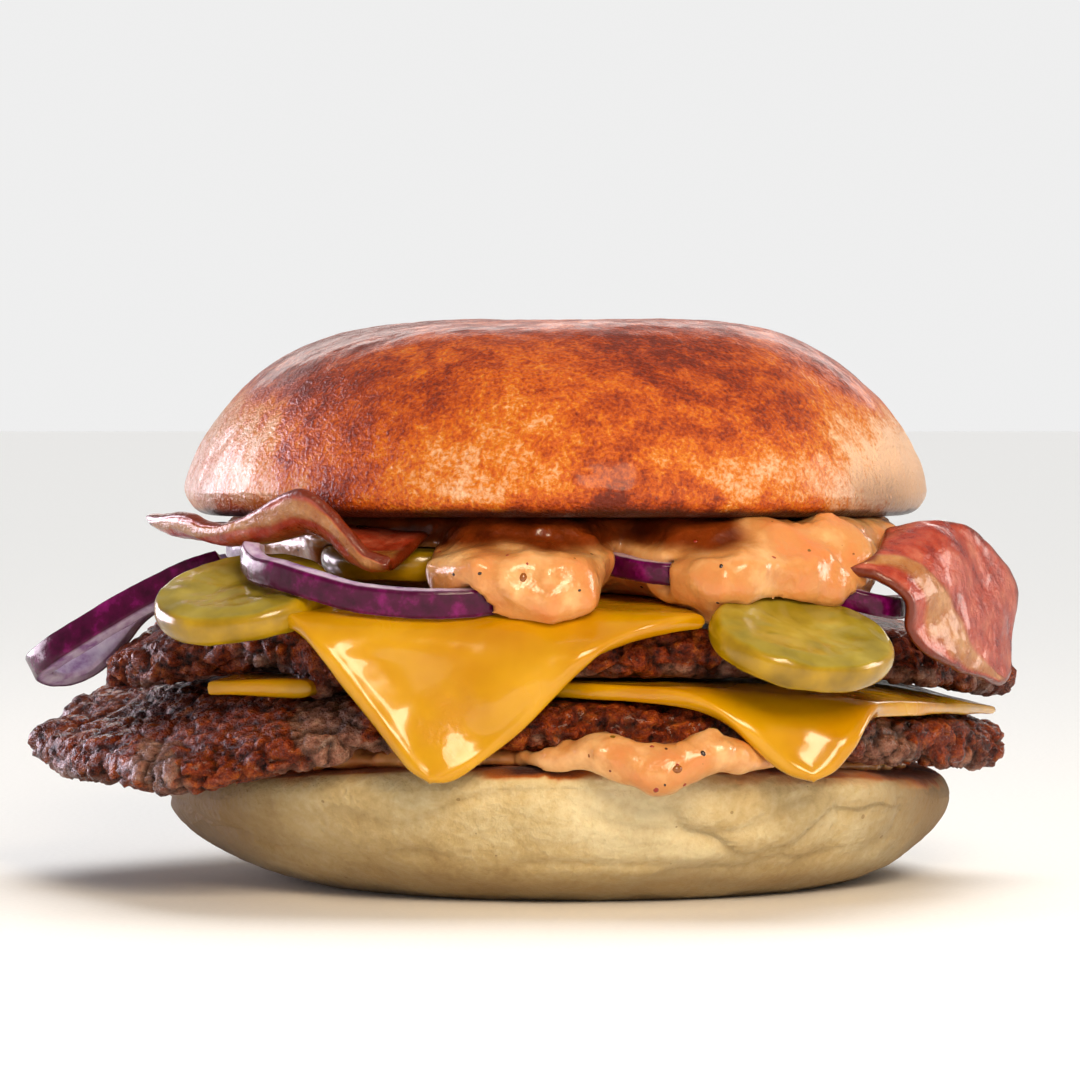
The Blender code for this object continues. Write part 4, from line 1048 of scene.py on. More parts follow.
def make_patty(name, base, base_sag, top, top_sag, radius, lobes, droops, settles, hangs, seed, sizes):
    """A smashed patty: crumbs of ground meat with cracks between them, torn thin at its edge."""
    outline = lobed_outline(radius, lobes, rough=0.0012, seed=seed, torn=0.0006)

    def lower(x, y):
        """The height of its underside."""
        return sagged(base, base_sag, x, y) - droop(x, y, droops) - settled(x, y, settles)

    def upper(x, y):
        """The height of its top, which thins out at the edge."""
        thin = 0.0012 * smoothstep(0.050, 0.072, np.hypot(x, y))
        return sagged(top, top_sag, x, y) - droop(x, y, droops) - thin

    made = flat_cake(name, outline, lower, upper, PATTY_RIM, segments=300, flat_rings=16, rim_rings=9)
    hang_down(made, hangs)

    def crags(places, normals):
        """Large crumbs round the edge; the flat faces are only pitted."""
        rim = smoothstep(0.046, 0.056, np.hypot(places[:, 0], places[:, 1]))
        side = smoothstep(0.9, 0.3, np.abs(normals[:, 2]))
        grain = CRUMB_RELIEF * (crumbs(places, CRUMB_SIZES[0], seed) - 0.5)
        flat = smoothstep(0.75, 0.95, np.abs(normals[:, 2]))
        return np.maximum(rim, side * 0.8) * (grain * (1.0 - flat) + np.minimum(grain, 0.0) * flat)

    push_out(made, crags)
    remesh(made, sizes.meat_mesh, 1)
    places, normals = places_of(made), normals_of(made)
    warp = np.stack([uneven(places, 0.005, seed + 20 + k) for k in range(3)], axis=1) * 0.0016
    out = np.hypot(places[:, 0], places[:, 1])
    open_air = smoothstep(0.047, 0.053, out)
    side = smoothstep(0.95, 0.5, np.abs(normals[:, 2]))
    from_middle, from_crack = cells(places + warp, CRUMB_SIZES[1], seed + 3)
    small_middle, small_crack = cells(places + 0.5 * warp, CRUMB_SIZES[2], seed + 4)
    seared = smoothstep(0.2, 0.7, normals[:, 2])
    knobs = 0.0007 * (0.45 - from_middle) - CRACK_DEPTHS[0] * np.exp(-((from_crack / 0.13) ** 2))
    folds = FOLD_RELIEF[0] * (0.35 - np.abs(uneven(places + warp, 0.0052, seed + 10)))
    folds += FOLD_RELIEF[1] * (0.30 - np.abs(uneven(places + warp, 0.0026, seed + 11)))
    knobs = (knobs + folds) * (1.0 - 0.45 * seared)
    small = 0.00030 * (0.45 - small_middle) - CRACK_DEPTHS[1] * np.exp(-((small_crack / 0.15) ** 2))
    crust = 0.00030 * uneven(places, 0.0012, seed + 5)
    depth = sizes.crag_depth / USUAL_DEPTH * (knobs + small) + crust
    shown = np.maximum(open_air, side)
    depth = np.where(depth > 0.0, depth * open_air * np.maximum(side, 0.5), depth * shown)
    place(made, places + normals * depth[:, None])
    # Painted shade: the cracks between crumbs are blackened. Thin tips and specks on the seared top are
    # scorched black, and patches on the down-facing sides are blackened too
    crack = np.exp(-((from_crack / 0.10) ** 2)) * 0.7 + np.exp(-((small_crack / 0.10) ** 2)) * 0.35
    tips = smoothstep(0.060, 0.072, out) * smoothstep(-0.1, 0.4, uneven(places, 0.007, seed + 6))
    facing_down = smoothstep(0.2, -0.6, normals[:, 2])
    lowest = facing_down * smoothstep(0.0, 0.5, uneven(places, 0.009, seed + 8)) * 0.7
    speckle = smoothstep(0.35, 0.6, uneven(places, 0.0016, seed + 7)) * 0.35
    char = np.clip(np.maximum.reduce([crack, tips * 0.45, lowest * 0.7, speckle * seared]), 0.0, 1.0)
    paint(made, "char", char)
    scattered = smoothstep(0.30, 0.60, uneven(places, 0.010, seed + 9))
    under = smoothstep(0.35, -0.5, normals[:, 2]) * 0.42 + scattered * 0.22
    pale = under * (1.0 - 0.5 * seared)
    front = smoothstep(-0.020, -0.030, places[:, 1])
    for x, z, reach in BARE_SPOTS:
        away = np.hypot(places[:, 0] - x, places[:, 2] - z) + 0.0015 * uneven(places, 0.004, seed + 12)
        pale = np.maximum(pale, 0.75 * front * smoothstep(1.3 * reach, 0.5 * reach, away))
    paint(made, "pale", pale)
    return made


def cheese_slice(name, corners, base, sag, folds, hollows, ridges, count, seed):
    """A slice laid on a patty. corners are its front, left, right and back corner when flat, and folds
    lists (direction in degrees, distance) of each line past which it melts down. hollows draw the edges
    beside the front corner in: which edge, place along it, half-width and depth, as shares of the slice.
    ridges are lines of (x, z) in millimetres on the part that hangs, each with its height and
    half-width."""
    share = np.linspace(0.0, 1.0, count + 1) ** CHEESE_CROWDING
    u, v = np.meshgrid(share, share, indexing="ij")
    pull = 1.0 - 0.035 * ((2 * u - 1) ** 2) * ((2 * v - 1) ** 2)
    u, v = 0.5 + (u - 0.5) * pull, 0.5 + (v - 0.5) * pull
    for edge, middle, width, depth in hollows:
        if edge == "right":
            u = u + depth * np.exp(-(((v - middle) / width) ** 2)) * (1.0 - u) ** 2
        else:
            v = v + depth * np.exp(-(((u - middle) / width) ** 2)) * (1.0 - v) ** 2
    if folds:
        near = np.exp(-((u / CHEESE_CORNER_SHARE) ** 2 + (v / CHEESE_CORNER_SHARE) ** 2))
        melted = CHEESE_CORNER_MELT * near
        u, v = u + melted, v + melted
    front, left, right, back = (np.array(c) * 0.001 for c in corners)
    u, v = u[..., None], v[..., None]
    flat = front * (1 - u) * (1 - v) + left * u * (1 - v) + right * (1 - u) * v + back * u * v
    x, y = flat[..., 0].copy(), flat[..., 1].copy()
    fall = np.zeros_like(x)
    for direction, distance in folds:
        out = np.array([math.cos(math.radians(direction)), math.sin(math.radians(direction))])
        past = np.maximum(x * out[0] + y * out[1] - distance, 0.0)
        angle = np.minimum(past / CHEESE_BEND, CHEESE_STEEPEST)
        straight = np.maximum(past - CHEESE_BEND * CHEESE_STEEPEST, 0.0)
        reach = CHEESE_BEND * np.sin(angle) + straight * math.cos(CHEESE_STEEPEST)
        x += out[0] * (reach - past)
        y += out[1] * (reach - past)
        fall += CHEESE_BEND * (1.0 - np.cos(angle)) + straight * math.sin(CHEESE_STEEPEST)
    height = sagged(base + CHEESE_THICKNESS / 2.0, sag, x, y) - fall
    hangs = smoothstep(0.0010, 0.0050, fall)
    for line, swell, width in ridges:
        away = distance_to_line(x.ravel(), height.ravel(), line)[0].reshape(x.shape)
        y = y - swell * hangs * np.exp(-((away / width) ** 2))
    grid = np.stack([x, y, height], axis=2)[:, ::-1]
    rounding = edge_rounding(count + 1, count + 1, 0.032 if len(folds) else 0.12)
    u_line = np.linspace(0.0, 1.0, count + 1)
    from_edge = np.minimum(u_line[:, None], u_line[None, ::-1])
    thicker, lip_at, lip_width = CHEESE_LIP
    lip = 1.0 + thicker * hangs[:, ::-1] * np.exp(-(((from_edge - lip_at) / lip_width) ** 2))
    thin_from, thin_to, thinner = CHEESE_THIN_END
    thin = 1.0 - thinner * smoothstep(thin_from, thin_to, grid[..., 0])
    made = sheet_solid(name, grid, CHEESE_THICKNESS * rounding * lip * thin)

    def waves(places, normals):
        """Slight unevenness of a soft slice."""
        return 0.00035 * uneven(places, 0.011, seed) + 0.00008 * uneven(places, 0.004, seed + 1)

    push_out(made, waves)
    return made


def make_cheeses():
    """The slice over the upper patty, the one under it, and the end of a third between the patties."""
    upper = cheese_slice(
        "cheese_on_top", ((-17.0, -78.0), (-52.0, -29.0), (20.6, -53.2), (2.0, 26.0)),
        CHEESE_UPPER_BASE, UPPER_SAG, ((270.0, 0.0515),), UPPER_HOLLOWS, UPPER_RIDGES, 120, 51,
    )
    lower = cheese_slice(
        "cheese_between", ((36.5, -64.0), (-24.7, -39.1), (63.3, -3.5), (8.0, 34.0)),
        CHEESE_LOWER_BASE, LOWER_SAG, ((282.0, 0.0540),), LOWER_HOLLOWS, LOWER_RIDGES, 120, 53,
    )
    side = cheese_slice(
        "cheese_end", ((-47.6, -39.8), (-43.6, -30.2), (-33.0, -43.5), (-28.0, -30.4)),
        CHEESE_LOWER_BASE - 0.0004, LOWER_SAG, (), (), (), 40, 55,
    )
    for made, middle, reach in (
        (upper, (-0.0145, -0.0600, 0.0265), 0.0050), (lower, (0.052, -0.034, 0.0285), 0.0070),
        (side, None, 0.0),
    ):
        places = places_of(made)
        oily = np.zeros(len(places))
        if middle:
            away = np.linalg.norm((places - middle) * (1.0, 1.0, 0.75), axis=1)
            oily = smoothstep(reach, reach * 0.4, away + uneven(places, 0.003, 57) * 0.0015)
        paint(made, "oily", oily * 0.75)
    return upper, lower, side


def make_sauce(name, cad_node, swell, pulls, seed, sizes):
    """Sauce with the form of its solid, softened, swirled and lumpy with relish. pulls are places where a
    drop of it was drawn out: where, how far, and over what reach."""
    made = copy_of(cad_node, name)
    remesh(made, sizes.sauce_mesh, 16)

    def lumps(places, normals):
        """Waves, swirls and lumps of relish, only where the sauce is in the open."""
        away = np.hypot(places[:, 0], places[:, 1])
        open_air = smoothstep(0.040, 0.046, away)
        warp = np.stack([uneven(places, 0.009, seed + 5 + k) for k in range(3)], axis=1) * 0.003
        wave = 0.0007 * uneven(places, 0.0065, seed) + 0.00030 * uneven(places, 0.0030, seed + 1)
        swirl = 0.0011 * (0.28 - np.abs(uneven((places + warp) * (1.0, 1.0, 0.6), 0.0068, seed + 4)))
        middle = cells(places, 0.0034, seed + 2)[0]
        few = smoothstep(0.05, 0.25, uneven(places, 0.006, seed + 3))
        chunk = 0.0005 * smoothstep(0.42, 0.18, middle) * few
        return open_air * (wave + swirl + chunk) + swell

    push_out(made, lumps)
    places = places_of(made)
    for spot, pull, reach in pulls:
        away = np.linalg.norm(places - spot, axis=1)
        places += np.exp(-((away / reach) ** 2))[:, None] * np.array(pull)
    place(made, places)
    return made


def make_pickle(name, centre, long_radius, short_radius, heading, tilt, seed):
    """A slice of gherkin: an oval disc with a rounded, slightly bumpy skin edge and a seedy middle."""
    angles = np.linspace(0.0, 2.0 * math.pi, 128, endpoint=False)
    half = PICKLE_THICKNESS / 2.0
    profile = [(s, -1.0) for s in np.linspace(0.0, 0.90, 22)]
    profile += [(0.90 + 0.10 * math.cos(t), math.sin(t)) for t in np.linspace(-1.45, 1.45, 15)]
    profile += [(s, 1.0) for s in np.linspace(0.90, 0.0, 22)]
    rings = []
    for share, height in profile:
        x, y = long_radius * share * np.cos(angles), short_radius * share * np.sin(angles)
        rings.append(np.stack([x, y, np.full_like(x, height * half)], axis=1))
    made = stacked_rings(name, rings)
    push_out(made, lambda places, normals: 0.0003 * uneven(places, 0.007, seed))
    places, normals = places_of(made), normals_of(made)
    share = np.hypot(places[:, 0] / long_radius, places[:, 1] / short_radius)
    turn = np.arctan2(places[:, 1], places[:, 0])
    flat_face = smoothstep(0.7, 0.95, np.abs(normals[:, 2]))
    spokes = np.cos(turn * 9.0 + 3.5 * uneven(places, 0.005, seed + 30))
    seeds = flat_face * smoothstep(0.1, 0.9, spokes) * bump(share * 100.0, 50.0, 15.0)
    dish = flat_face * (0.00022 * bump(share * 100.0, 70.0, 10.0) - 0.00030 * smoothstep(0.7, 0.2, share))
    fine = flat_face * 0.00020 * uneven(places, 0.0024, seed + 31) + 0.00008 * seeds
    place(made, places + normals * (dish + fine)[:, None])
    paint(made, "skin", smoothstep(0.90, 0.975, share))
    paint(made, "seeds", seeds * 0.4)
    lean, towards = math.radians(tilt), math.radians(heading)
    down = np.array([math.cos(towards), math.sin(towards), 0.0])
    short_axis = down * math.cos(lean) - np.array([0.0, 0.0, math.sin(lean)])
    long_axis = np.array([-down[1], down[0], 0.0])
    up_axis = np.cross(long_axis, -short_axis)
    place(made, places_of(made) @ np.stack([long_axis, -short_axis, up_axis]) + np.array(centre))
    return made


def make_onion(name, stops, axis, layer, slice_height, skin_side, count):
    """A strip of onion along its stops: purple skin on its outer side, white where the knife went."""
    path = smooth_path(stops, count)
    axis = np.array(axis, float) / np.linalg.norm(axis)
    outline = (
        (-0.5, -0.46), (0.38, -0.5), (0.5, -0.38), (0.54, 0.0), (0.5, 0.38), (0.38, 0.5), (-0.5, 0.46),
    )
    corners = []
    for (ax, ay), (bx, by) in zip(outline, outline[1:] + outline[:1]):
        corners += [(ax + (bx - ax) * t, ay + (by - ay) * t) for t in (0.06, 0.35, 0.65, 0.94)]
    tangents = np.gradient(path, axis=0)
    rings, skins = [], []
    for k, (here, tangent) in enumerate(zip(path, tangents)):
        out = np.cross(tangent, axis)
        out /= np.linalg.norm(out)
        end = 0.55 + 0.45 * min(1.0, k / (count * 0.07), (count - 1 - k) / (count * 0.07))
        ring = [here + out * (a * layer) + axis * (b * slice_height * end) for a, b in corners]
        rings.append(np.array(ring))
        skins.append([smoothstep(0.28, 0.42, np.array(a * skin_side)) for a, b in corners])
    columns = len(corners)
    points = [*np.concatenate(rings), rings[0].mean(axis=0), rings[-1].mean(axis=0)]
    faces = grid_faces(count, columns, closed=True)
    first, last, end = count * columns, count * columns + 1, (count - 1) * columns
    for i in range(columns):
        following = (i + 1) % columns
        faces.append((first, following, i))
        faces.append((last, end + i, end + following))
    made = mesh_object(name, points, faces)
    paint(made, "skin", np.concatenate([np.array(skins).ravel(), [0.0, 0.0]]))

    def grain(places, normals):
        """The fine unevenness of raw onion."""
        return 0.00012 * uneven(places, 0.004, 61) + 0.00005 * uneven(places, 0.0014, 62)

    push_out(made, grain)
    return made


# Each strip of onion: stops along its middle line, the direction of its height, the thickness of that layer
# of the bulb, the height of the strip, and on which side its skin is (1 or -1)
ONIONS = {
    "onion_left": (
        (
            (-0.0462, -0.0230, 0.0456), (-0.0510, -0.0226, 0.0432), (-0.0580, -0.0213, 0.0397),
            (-0.0655, -0.0198, 0.0352), (-0.0702, -0.0178, 0.0322), (-0.0720, -0.0140, 0.0306),
            (-0.0700, -0.0104, 0.0296), (-0.0664, -0.0086, 0.0304), (-0.0628, -0.0080, 0.0334),
            (-0.0590, -0.0076, 0.0380), (-0.0550, -0.0072, 0.0408),
            (-0.0505, -0.0070, 0.0430), (-0.0458, -0.0072, 0.0446),
        ),
        (-0.44, 0.47, 0.77), 0.0028, 0.0041, -1,
    ),
    "onion_middle": (
        (
            (-0.0406, -0.0385, 0.0474), (-0.0412, -0.0420, 0.0465), (-0.0397, -0.0462, 0.0452),
            (-0.0366, -0.0497, 0.0446), (-0.0325, -0.0523, 0.0434), (-0.0255, -0.0546, 0.0417),
            (-0.0165, -0.0554, 0.0411), (-0.0085, -0.0535, 0.0416), (-0.0030, -0.0490, 0.0434),
            (-0.0005, -0.0440, 0.0448),
        ),
        (0.0, -0.20, 0.98), 0.0025, 0.0038, 1,
    ),
    "onion_right": (
        (
            (0.0060, -0.0370, 0.0462), (0.0085, -0.0430, 0.0456), (0.0130, -0.0462, 0.0448),
            (0.0190, -0.0452, 0.0444), (0.0270, -0.0415, 0.0438), (0.0350, -0.0402, 0.0424),
            (0.0420, -0.0408, 0.0404), (0.0458, -0.0360, 0.0396), (0.0458, -0.0290, 0.0402),
        ),
        (0.0, -0.12, 0.99), 0.0024, 0.0030, 1,
    ),
    "onion_back": (
        (
            (-0.0440, 0.0160, 0.0462), (-0.0470, 0.0270, 0.0456), (-0.0430, 0.0400, 0.0440),
            (-0.0340, 0.0500, 0.0426), (-0.0230, 0.0545, 0.0420), (-0.0130, 0.0520, 0.0440),
            (-0.0080, 0.0440, 0.0486), (-0.0060, 0.0340, 0.0500),
        ),
        (0.0, 0.15, 0.98), 0.0025, 0.0036, 1,
    ),
}

# Each slice of pickle: its middle, long and short radius, the direction in degrees that it tips towards, by
# how many degrees, and a seed
PICKLES = {
    "pickle_left": ((-0.0422, -0.0430, 0.0411), 0.0122, 0.0118, 246.0, 21.0, 1),
    "pickle_middle": ((-0.0200, -0.0290, 0.0462), 0.0124, 0.0112, 268.0, 5.0, 2),
    "pickle_right": ((0.0322, -0.0525, 0.0358), 0.0134, 0.0108, 305.0, 27.0, 3),
    "pickle_back": ((0.0060, 0.0470, 0.0432), 0.0140, 0.0125, 84.0, 13.0, 4),
}

# Each rasher: lines along it in millimetres from its front edge to its back edge, points across and along,
# seed, and its bands of fat as (place across it, half-width), both as shares of its width
BACONS = {
    "bacon_left": (
        (
            (
                (-56.6, -20.0, 51.6), (-51.5, -28.0, 52.2), (-46.5, -33.5, 51.0), (-42.0, -38.0, 52.0),
                (-38.0, -42.5, 54.6), (-34.5, -46.0, 56.0), (-31.0, -47.6, 54.4), (-28.5, -48.6, 51.2),
                (-25.5, -50.0, 48.2), (-22.3, -50.8, 46.6),
            ),
            (
                (-54.6, -19.0, 50.4), (-50.3, -26.6, 49.4), (-45.2, -33.0, 48.6), (-40.6, -37.0, 49.0),
                (-36.6, -40.5, 50.2), (-33.5, -43.2, 50.9), (-30.4, -45.2, 49.6), (-27.6, -46.6, 47.2),
                (-24.8, -48.0, 45.8), (-21.8, -48.8, 45.8),
            ),
            (
                (-47.0, -10.0, 49.8), (-43.6, -17.0, 49.8), (-39.0, -23.0, 49.8), (-35.0, -27.0, 50.0),
                (-31.5, -30.5, 50.2), (-28.5, -33.2, 50.2), (-25.8, -35.2, 50.0), (-23.2, -37.0, 49.8),
                (-20.4, -38.6, 49.6), (-17.4, -40.0, 49.4),
            ),
        ),
        44, 220, 21, ((0.20, 0.13), (0.62, 0.10)),
    ),
    "bacon_right": (
        (
            (
                (38.5, -42.5, 44.6), (43.5, -44.0, 43.6), (46.6, -43.4, 40.6), (46.8, -42.0, 36.6),
                (50.0, -40.0, 33.2), (54.6, -34.6, 31.0), (60.6, -26.6, 28.4),
            ),
            (
                (42.6, -39.6, 47.0), (48.4, -37.4, 46.4), (52.4, -35.0, 43.4), (54.2, -33.2, 39.6),
                (56.4, -31.4, 36.0), (58.8, -28.4, 32.6), (61.2, -25.2, 28.8),
            ),
            (
                (44.6, -29.0, 49.6), (51.6, -26.6, 50.8), (56.4, -23.0, 50.0), (60.6, -18.8, 45.6),
                (63.4, -16.6, 41.4), (62.4, -19.0, 35.2), (61.8, -23.6, 29.6),
            ),
        ),
        60, 170, 23, ((0.26, 0.16),),
    ),
}


def make_bacon(name, edges, rows, columns, seed, bands):
    """A rasher: a wavy ribbon with puckered, crisp edges and bands of fat along it."""
    lines = np.stack([smooth_path(edge, columns) for edge in edges], axis=1) * 0.001
    grid = np.stack([smooth_path(across, rows) for across in lines], axis=1)
    flat = grid.reshape(-1, 3)
    ripple = 0.0007 * uneven(flat, 0.009, seed) + 0.0003 * uneven(flat, 0.004, seed + 1)
    ripple += 0.00018 * uneven(flat, 0.0018, seed + 2)
    grid = grid + ripple.reshape(rows, columns, 1) * np.array([0.3, -0.5, 0.7])
    across = np.repeat(np.linspace(0.0, 1.0, rows), columns)
    along = np.tile(np.linspace(0.0, 1.0, columns), rows)
    wander = uneven(flat, 0.010, seed + 3) * 0.10
    fat = sum(np.exp(-(((across + wander - middle) / width) ** 2)) for middle, width in bands)
    fat = smoothstep(0.35, 0.75, fat + 0.25 * uneven(flat, 0.003, seed + 4))
    near_edge = np.minimum(np.minimum(across, 1.0 - across) * 2.2, np.minimum(along, 1.0 - along) * 3.0)
    crisp = smoothstep(0.14, 0.02, near_edge + 0.06 * uneven(flat, 0.003, seed + 5))
    plump = 0.85 + 0.2 * fat.reshape(rows, columns)
    thickness = BACON_THICKNESS * plump * edge_rounding(rows, columns, 0.03)
    made = sheet_solid(name, grid, thickness)
    paint(made, "fat", np.tile(fat, 2))
    paint(made, "crisp", np.tile(crisp, 2))
    return made


# Where drops of the upper sauce were drawn out: place, how far, and reach
SAUCE_PULLS = (
    ((0.0184, -0.0560, 0.0415), (-0.0004, -0.0004, -0.0030), 0.0020),
    ((0.0078, -0.0555, 0.0455), (0.0022, -0.0006, -0.0006), 0.0018),
    ((-0.0006, -0.0570, 0.0410), (0.0000, -0.0012, -0.0012), 0.0026),
    ((0.0050, -0.0560, 0.0414), (0.0004, -0.0010, -0.0008), 0.0022),
    ((0.0330, -0.0560, 0.0415), (0.0000, -0.0014, -0.0010), 0.0030),
    ((0.0420, -0.0480, 0.0420), (0.0004, -0.0010, -0.0016), 0.0024),
)


def soaked_share(places):
    """Where the upper sauce lies in the shadow of the top bun and is painted dark brown as shade, away from
    the fresh dollop.
    """
    x, y, z = places.T
    wander = uneven(places, 0.005, 71) * 0.0012
    high = smoothstep(0.0474, 0.0490, z + wander)
    front = smoothstep(-0.030, -0.036, y)
    front = front * smoothstep(0.027, 0.023, x + wander) * smoothstep(-0.040, -0.032, x)
    return high * front


# Two mustard seeds and a fleck that stand out in the sauce: which sauce, x, z, half-length and kind
CLEAR_BITS = (
    ("upper", -0.0046, 0.0446, 0.00055, 0.0), ("lower", 0.0156, 0.0196, 0.00060, 0.0),
    ("lower", 0.0190, 0.0216, 0.00035, 1.0), ("lower", 0.0128, 0.0168, 0.00040, 0.5),
)


def scatter_bits(upper, lower, count):
    """Mustard seeds and bits of relish, half sunk in the front of both sauces. kind is 0 for a seed, 0.5
    for red pepper and 1 for a dark herb."""
    random = np.random.default_rng(7)
    trees = {}
    for key, sauce in (("upper", upper), ("lower", lower)):
        faces = [polygon.vertices[:] for polygon in sauce.data.polygons]
        trees[key] = BVHTree.FromPolygons(places_of(sauce).tolist(), faces)
    wanted = list(CLEAR_BITS)
    for _ in range(count):
        key = "upper" if random.random() < 0.8 else "lower"
        x = random.uniform(-0.016, 0.046) if key == "upper" else random.uniform(-0.002, 0.026)
        z = random.uniform(0.0405, 0.0490) if key == "upper" else random.uniform(0.0165, 0.0235)
        size = random.uniform(0.00014, 0.00034)
        kind = random.choice((0.0, 0.5, 0.5, 1.0, 1.0))
        wanted.append((key, x, z, size, kind))
    work = bmesh.new()
    kinds = []
    for key, x, z, size, kind in wanted:
        spot, out = trees[key].ray_cast(Vector((x, -0.2, z)), Vector((0.0, 1.0, 0.0)))[:2]
        if spot is None or spot.y > -0.035:
            continue
        grown = bmesh.ops.create_icosphere(work, subdivisions=2, radius=1.0)["verts"]
        turned = out.to_track_quat("Z", "X") @ Quaternion((0.0, 0.0, 1.0), random.uniform(0.0, math.pi))
        for vertex in grown:
            scaled = Vector((vertex.co.x * size * 1.3, vertex.co.y * size, vertex.co.z * size * 0.8))
            vertex.co = spot - out * size * 0.35 + turned @ scaled
        kinds += [kind] * len(grown)
    mesh = bpy.data.meshes.new("sauce_bits")
    work.to_mesh(mesh)
    work.free()
    mesh.shade_smooth()
    made = bpy.data.objects.new("sauce_bits", mesh)
    bpy.context.scene.collection.objects.link(made)
    paint(made, "kind", kinds)
    return made


def food_colour(name, description, hex_colour):
    """A colour setting that starts at this sRGB hex colour."""
    return FloatVectorProperty(
        name=name, description=description, default=linear(hex_colour)[:3], subtype="COLOR", size=3,
        min=0.0, max=1.0,
    )


def fine_size(name, description, default, least):
    """A setting for a size of a millimetre or so."""
    return FloatProperty(
        name=name, description=description, default=default, min=least, max=0.003, subtype="DISTANCE",
        unit="LENGTH", precision=5,
    )


def lamp_power(name, description, default):
    """A setting for the power of a lamp."""
    return FloatProperty(
        name=name, description=description, default=default, min=0.0, max=200.0, subtype="POWER",
        unit="POWER",
    )


class BurgerColours(bpy.types.PropertyGroup):
    """Main colours of the food"""

    crust_gold: food_colour("Golden crust", "Main colour of the glazed top bun", "#c2570a")
    # The pale crust colour is also painted in streaks at the left end of the top bun as the sheen of the
    # lamp there
    crust_pale: food_colour("Pale crust", "Where the top bun stayed light", "#eec09a")
    crust_brown: food_colour("Dark crust", "Where the top bun browned most", "#6a2005")
    dough: food_colour("Bottom bun", "Main colour of the unglazed bottom bun", "#d2ba86")
    beef_crust: food_colour("Beef crust", "Seared surface of the patties", "#7e2c10")
    beef_caramel: food_colour("Caramel glints", "Lightest seared spots of the patties", "#c4641f")
    beef_inside: food_colour("Beef inside", "Unseared crumbs of the patties", "#a87460")
    cheese: food_colour("Cheese", "Colour of the cheese", "#cc9400")
    sauce: food_colour("Sauce", "Colour of the sauce", "#d49252")
    seed: food_colour("Mustard seed", "Colour of the mustard seeds", "#8e4e0c")
    pickle_skin: food_colour("Pickle skin", "Rim of the pickle slices", "#a88400")
    pickle_flesh: food_colour("Pickle flesh", "Faces of the pickle slices", "#9a8620")
    onion_skin: food_colour("Onion skin", "Outer side of the onion strips", "#4c0234")
    onion_flesh: food_colour("Onion flesh", "Cut sides of the onion strips", "#cbb8d6")
    bacon_lean: food_colour("Bacon lean", "Lean bands of the bacon", "#a83a1e")
    bacon_fat: food_colour("Bacon fat", "Fat bands of the bacon", "#aa6e38")
    bacon_edge: food_colour("Bacon edge", "Crisp edges of the bacon", "#6c2408")


class BurgerSizes(bpy.types.PropertyGroup):
    """How fine and how deep the surfaces are"""

    meat_mesh: fine_size("Meat mesh", "Size of the faces of the patties", 0.00062, 0.0004)
    sauce_mesh: fine_size("Sauce mesh", "Size of the faces of the sauce", 0.00065, 0.0004)
    crag_depth: fine_size("Crag depth", "Depth of the cracks between crumbs of meat", USUAL_DEPTH, 0.0)
    fold_depth: fine_size("Fold depth", "Depth of the folds in the bottom bun", USUAL_DEPTH, 0.0)
    glaze_streaks: FloatProperty(
        name="Glaze streaks",
        description="How strongly the glaze is pulled into streaks at the ends of the top bun", default=1.0,
        min=0.0, max=3.0, subtype="FACTOR",
    )
    seeds: IntProperty(
        name="Seeds and bits", description="How many more seeds and bits of relish are strewn on the sauce",
        default=18, min=0, max=200,
    )


class StageSettings(bpy.types.PropertyGroup):
    """The camera and the lamps"""

    camera_distance: FloatProperty(
        name="Camera distance", description="From the camera to the middle of the burger", default=0.8,
        min=0.3, max=5.0, subtype="DISTANCE", unit="LENGTH",
    )
    camera_height: FloatProperty(
        name="Camera elevation", description="How far the camera looks down", default=math.radians(2.0),
        min=0.0, max=1.5, subtype="ANGLE", unit="ROTATION",
    )
    key_power: lamp_power("Key light", "Power of the softbox in front, over the camera", 2.5)
    rim_power: lamp_power("Rim light", "Power of the light behind at the left", 6.76)
    side_power: lamp_power("Side light", "Power of the weak light at the right", 1.82)
    back_power: lamp_power("Back light", "Power of the faint strip of light behind", 0.65)
    ceiling_power: FloatProperty(
        name="Ceiling light", description="Strength of the even soft light from above", default=2.2,
        min=0.0, max=20.0,
    )
    surround: FloatProperty(
        name="Surround", description="Strength of the studio around the burger", default=0.28, min=0.0,
        max=5.0, subtype="FACTOR",
    )


def shared_material(build, colours):
    """A material that several pieces share, made the first time it is asked for."""
    key = "burger_" + build.__name__
    if key not in bpy.context.scene:
        bpy.context.scene[key] = build(colours).name
    return bpy.data.materials[bpy.context.scene[key]]


class BURGER_OT_bottom_bun(bpy.types.Operator):
    """Builds the bottom bun"""

    bl_idname = "burger.bottom_bun"
    bl_label = "Bottom bun"

    def execute(self, context):
        made = make_heel(context.scene.burger_sizes)
        take_over(made, shared_material(soft_crust, context.scene.burger_colours), "heel_crust", "bun_heel")
        return {"FINISHED"}


class BURGER_OT_top_bun(bpy.types.Operator):
    """Builds the top bun"""

    bl_idname = "burger.top_bun"
    bl_label = "Top bun"

    def execute(self, context):
        made = make_crown(context.scene.burger_sizes)
        take_over(
            made, shared_material(glazed_crust, context.scene.burger_colours), "crown_crust", "bun_crown",
        )
        return {"FINISHED"}


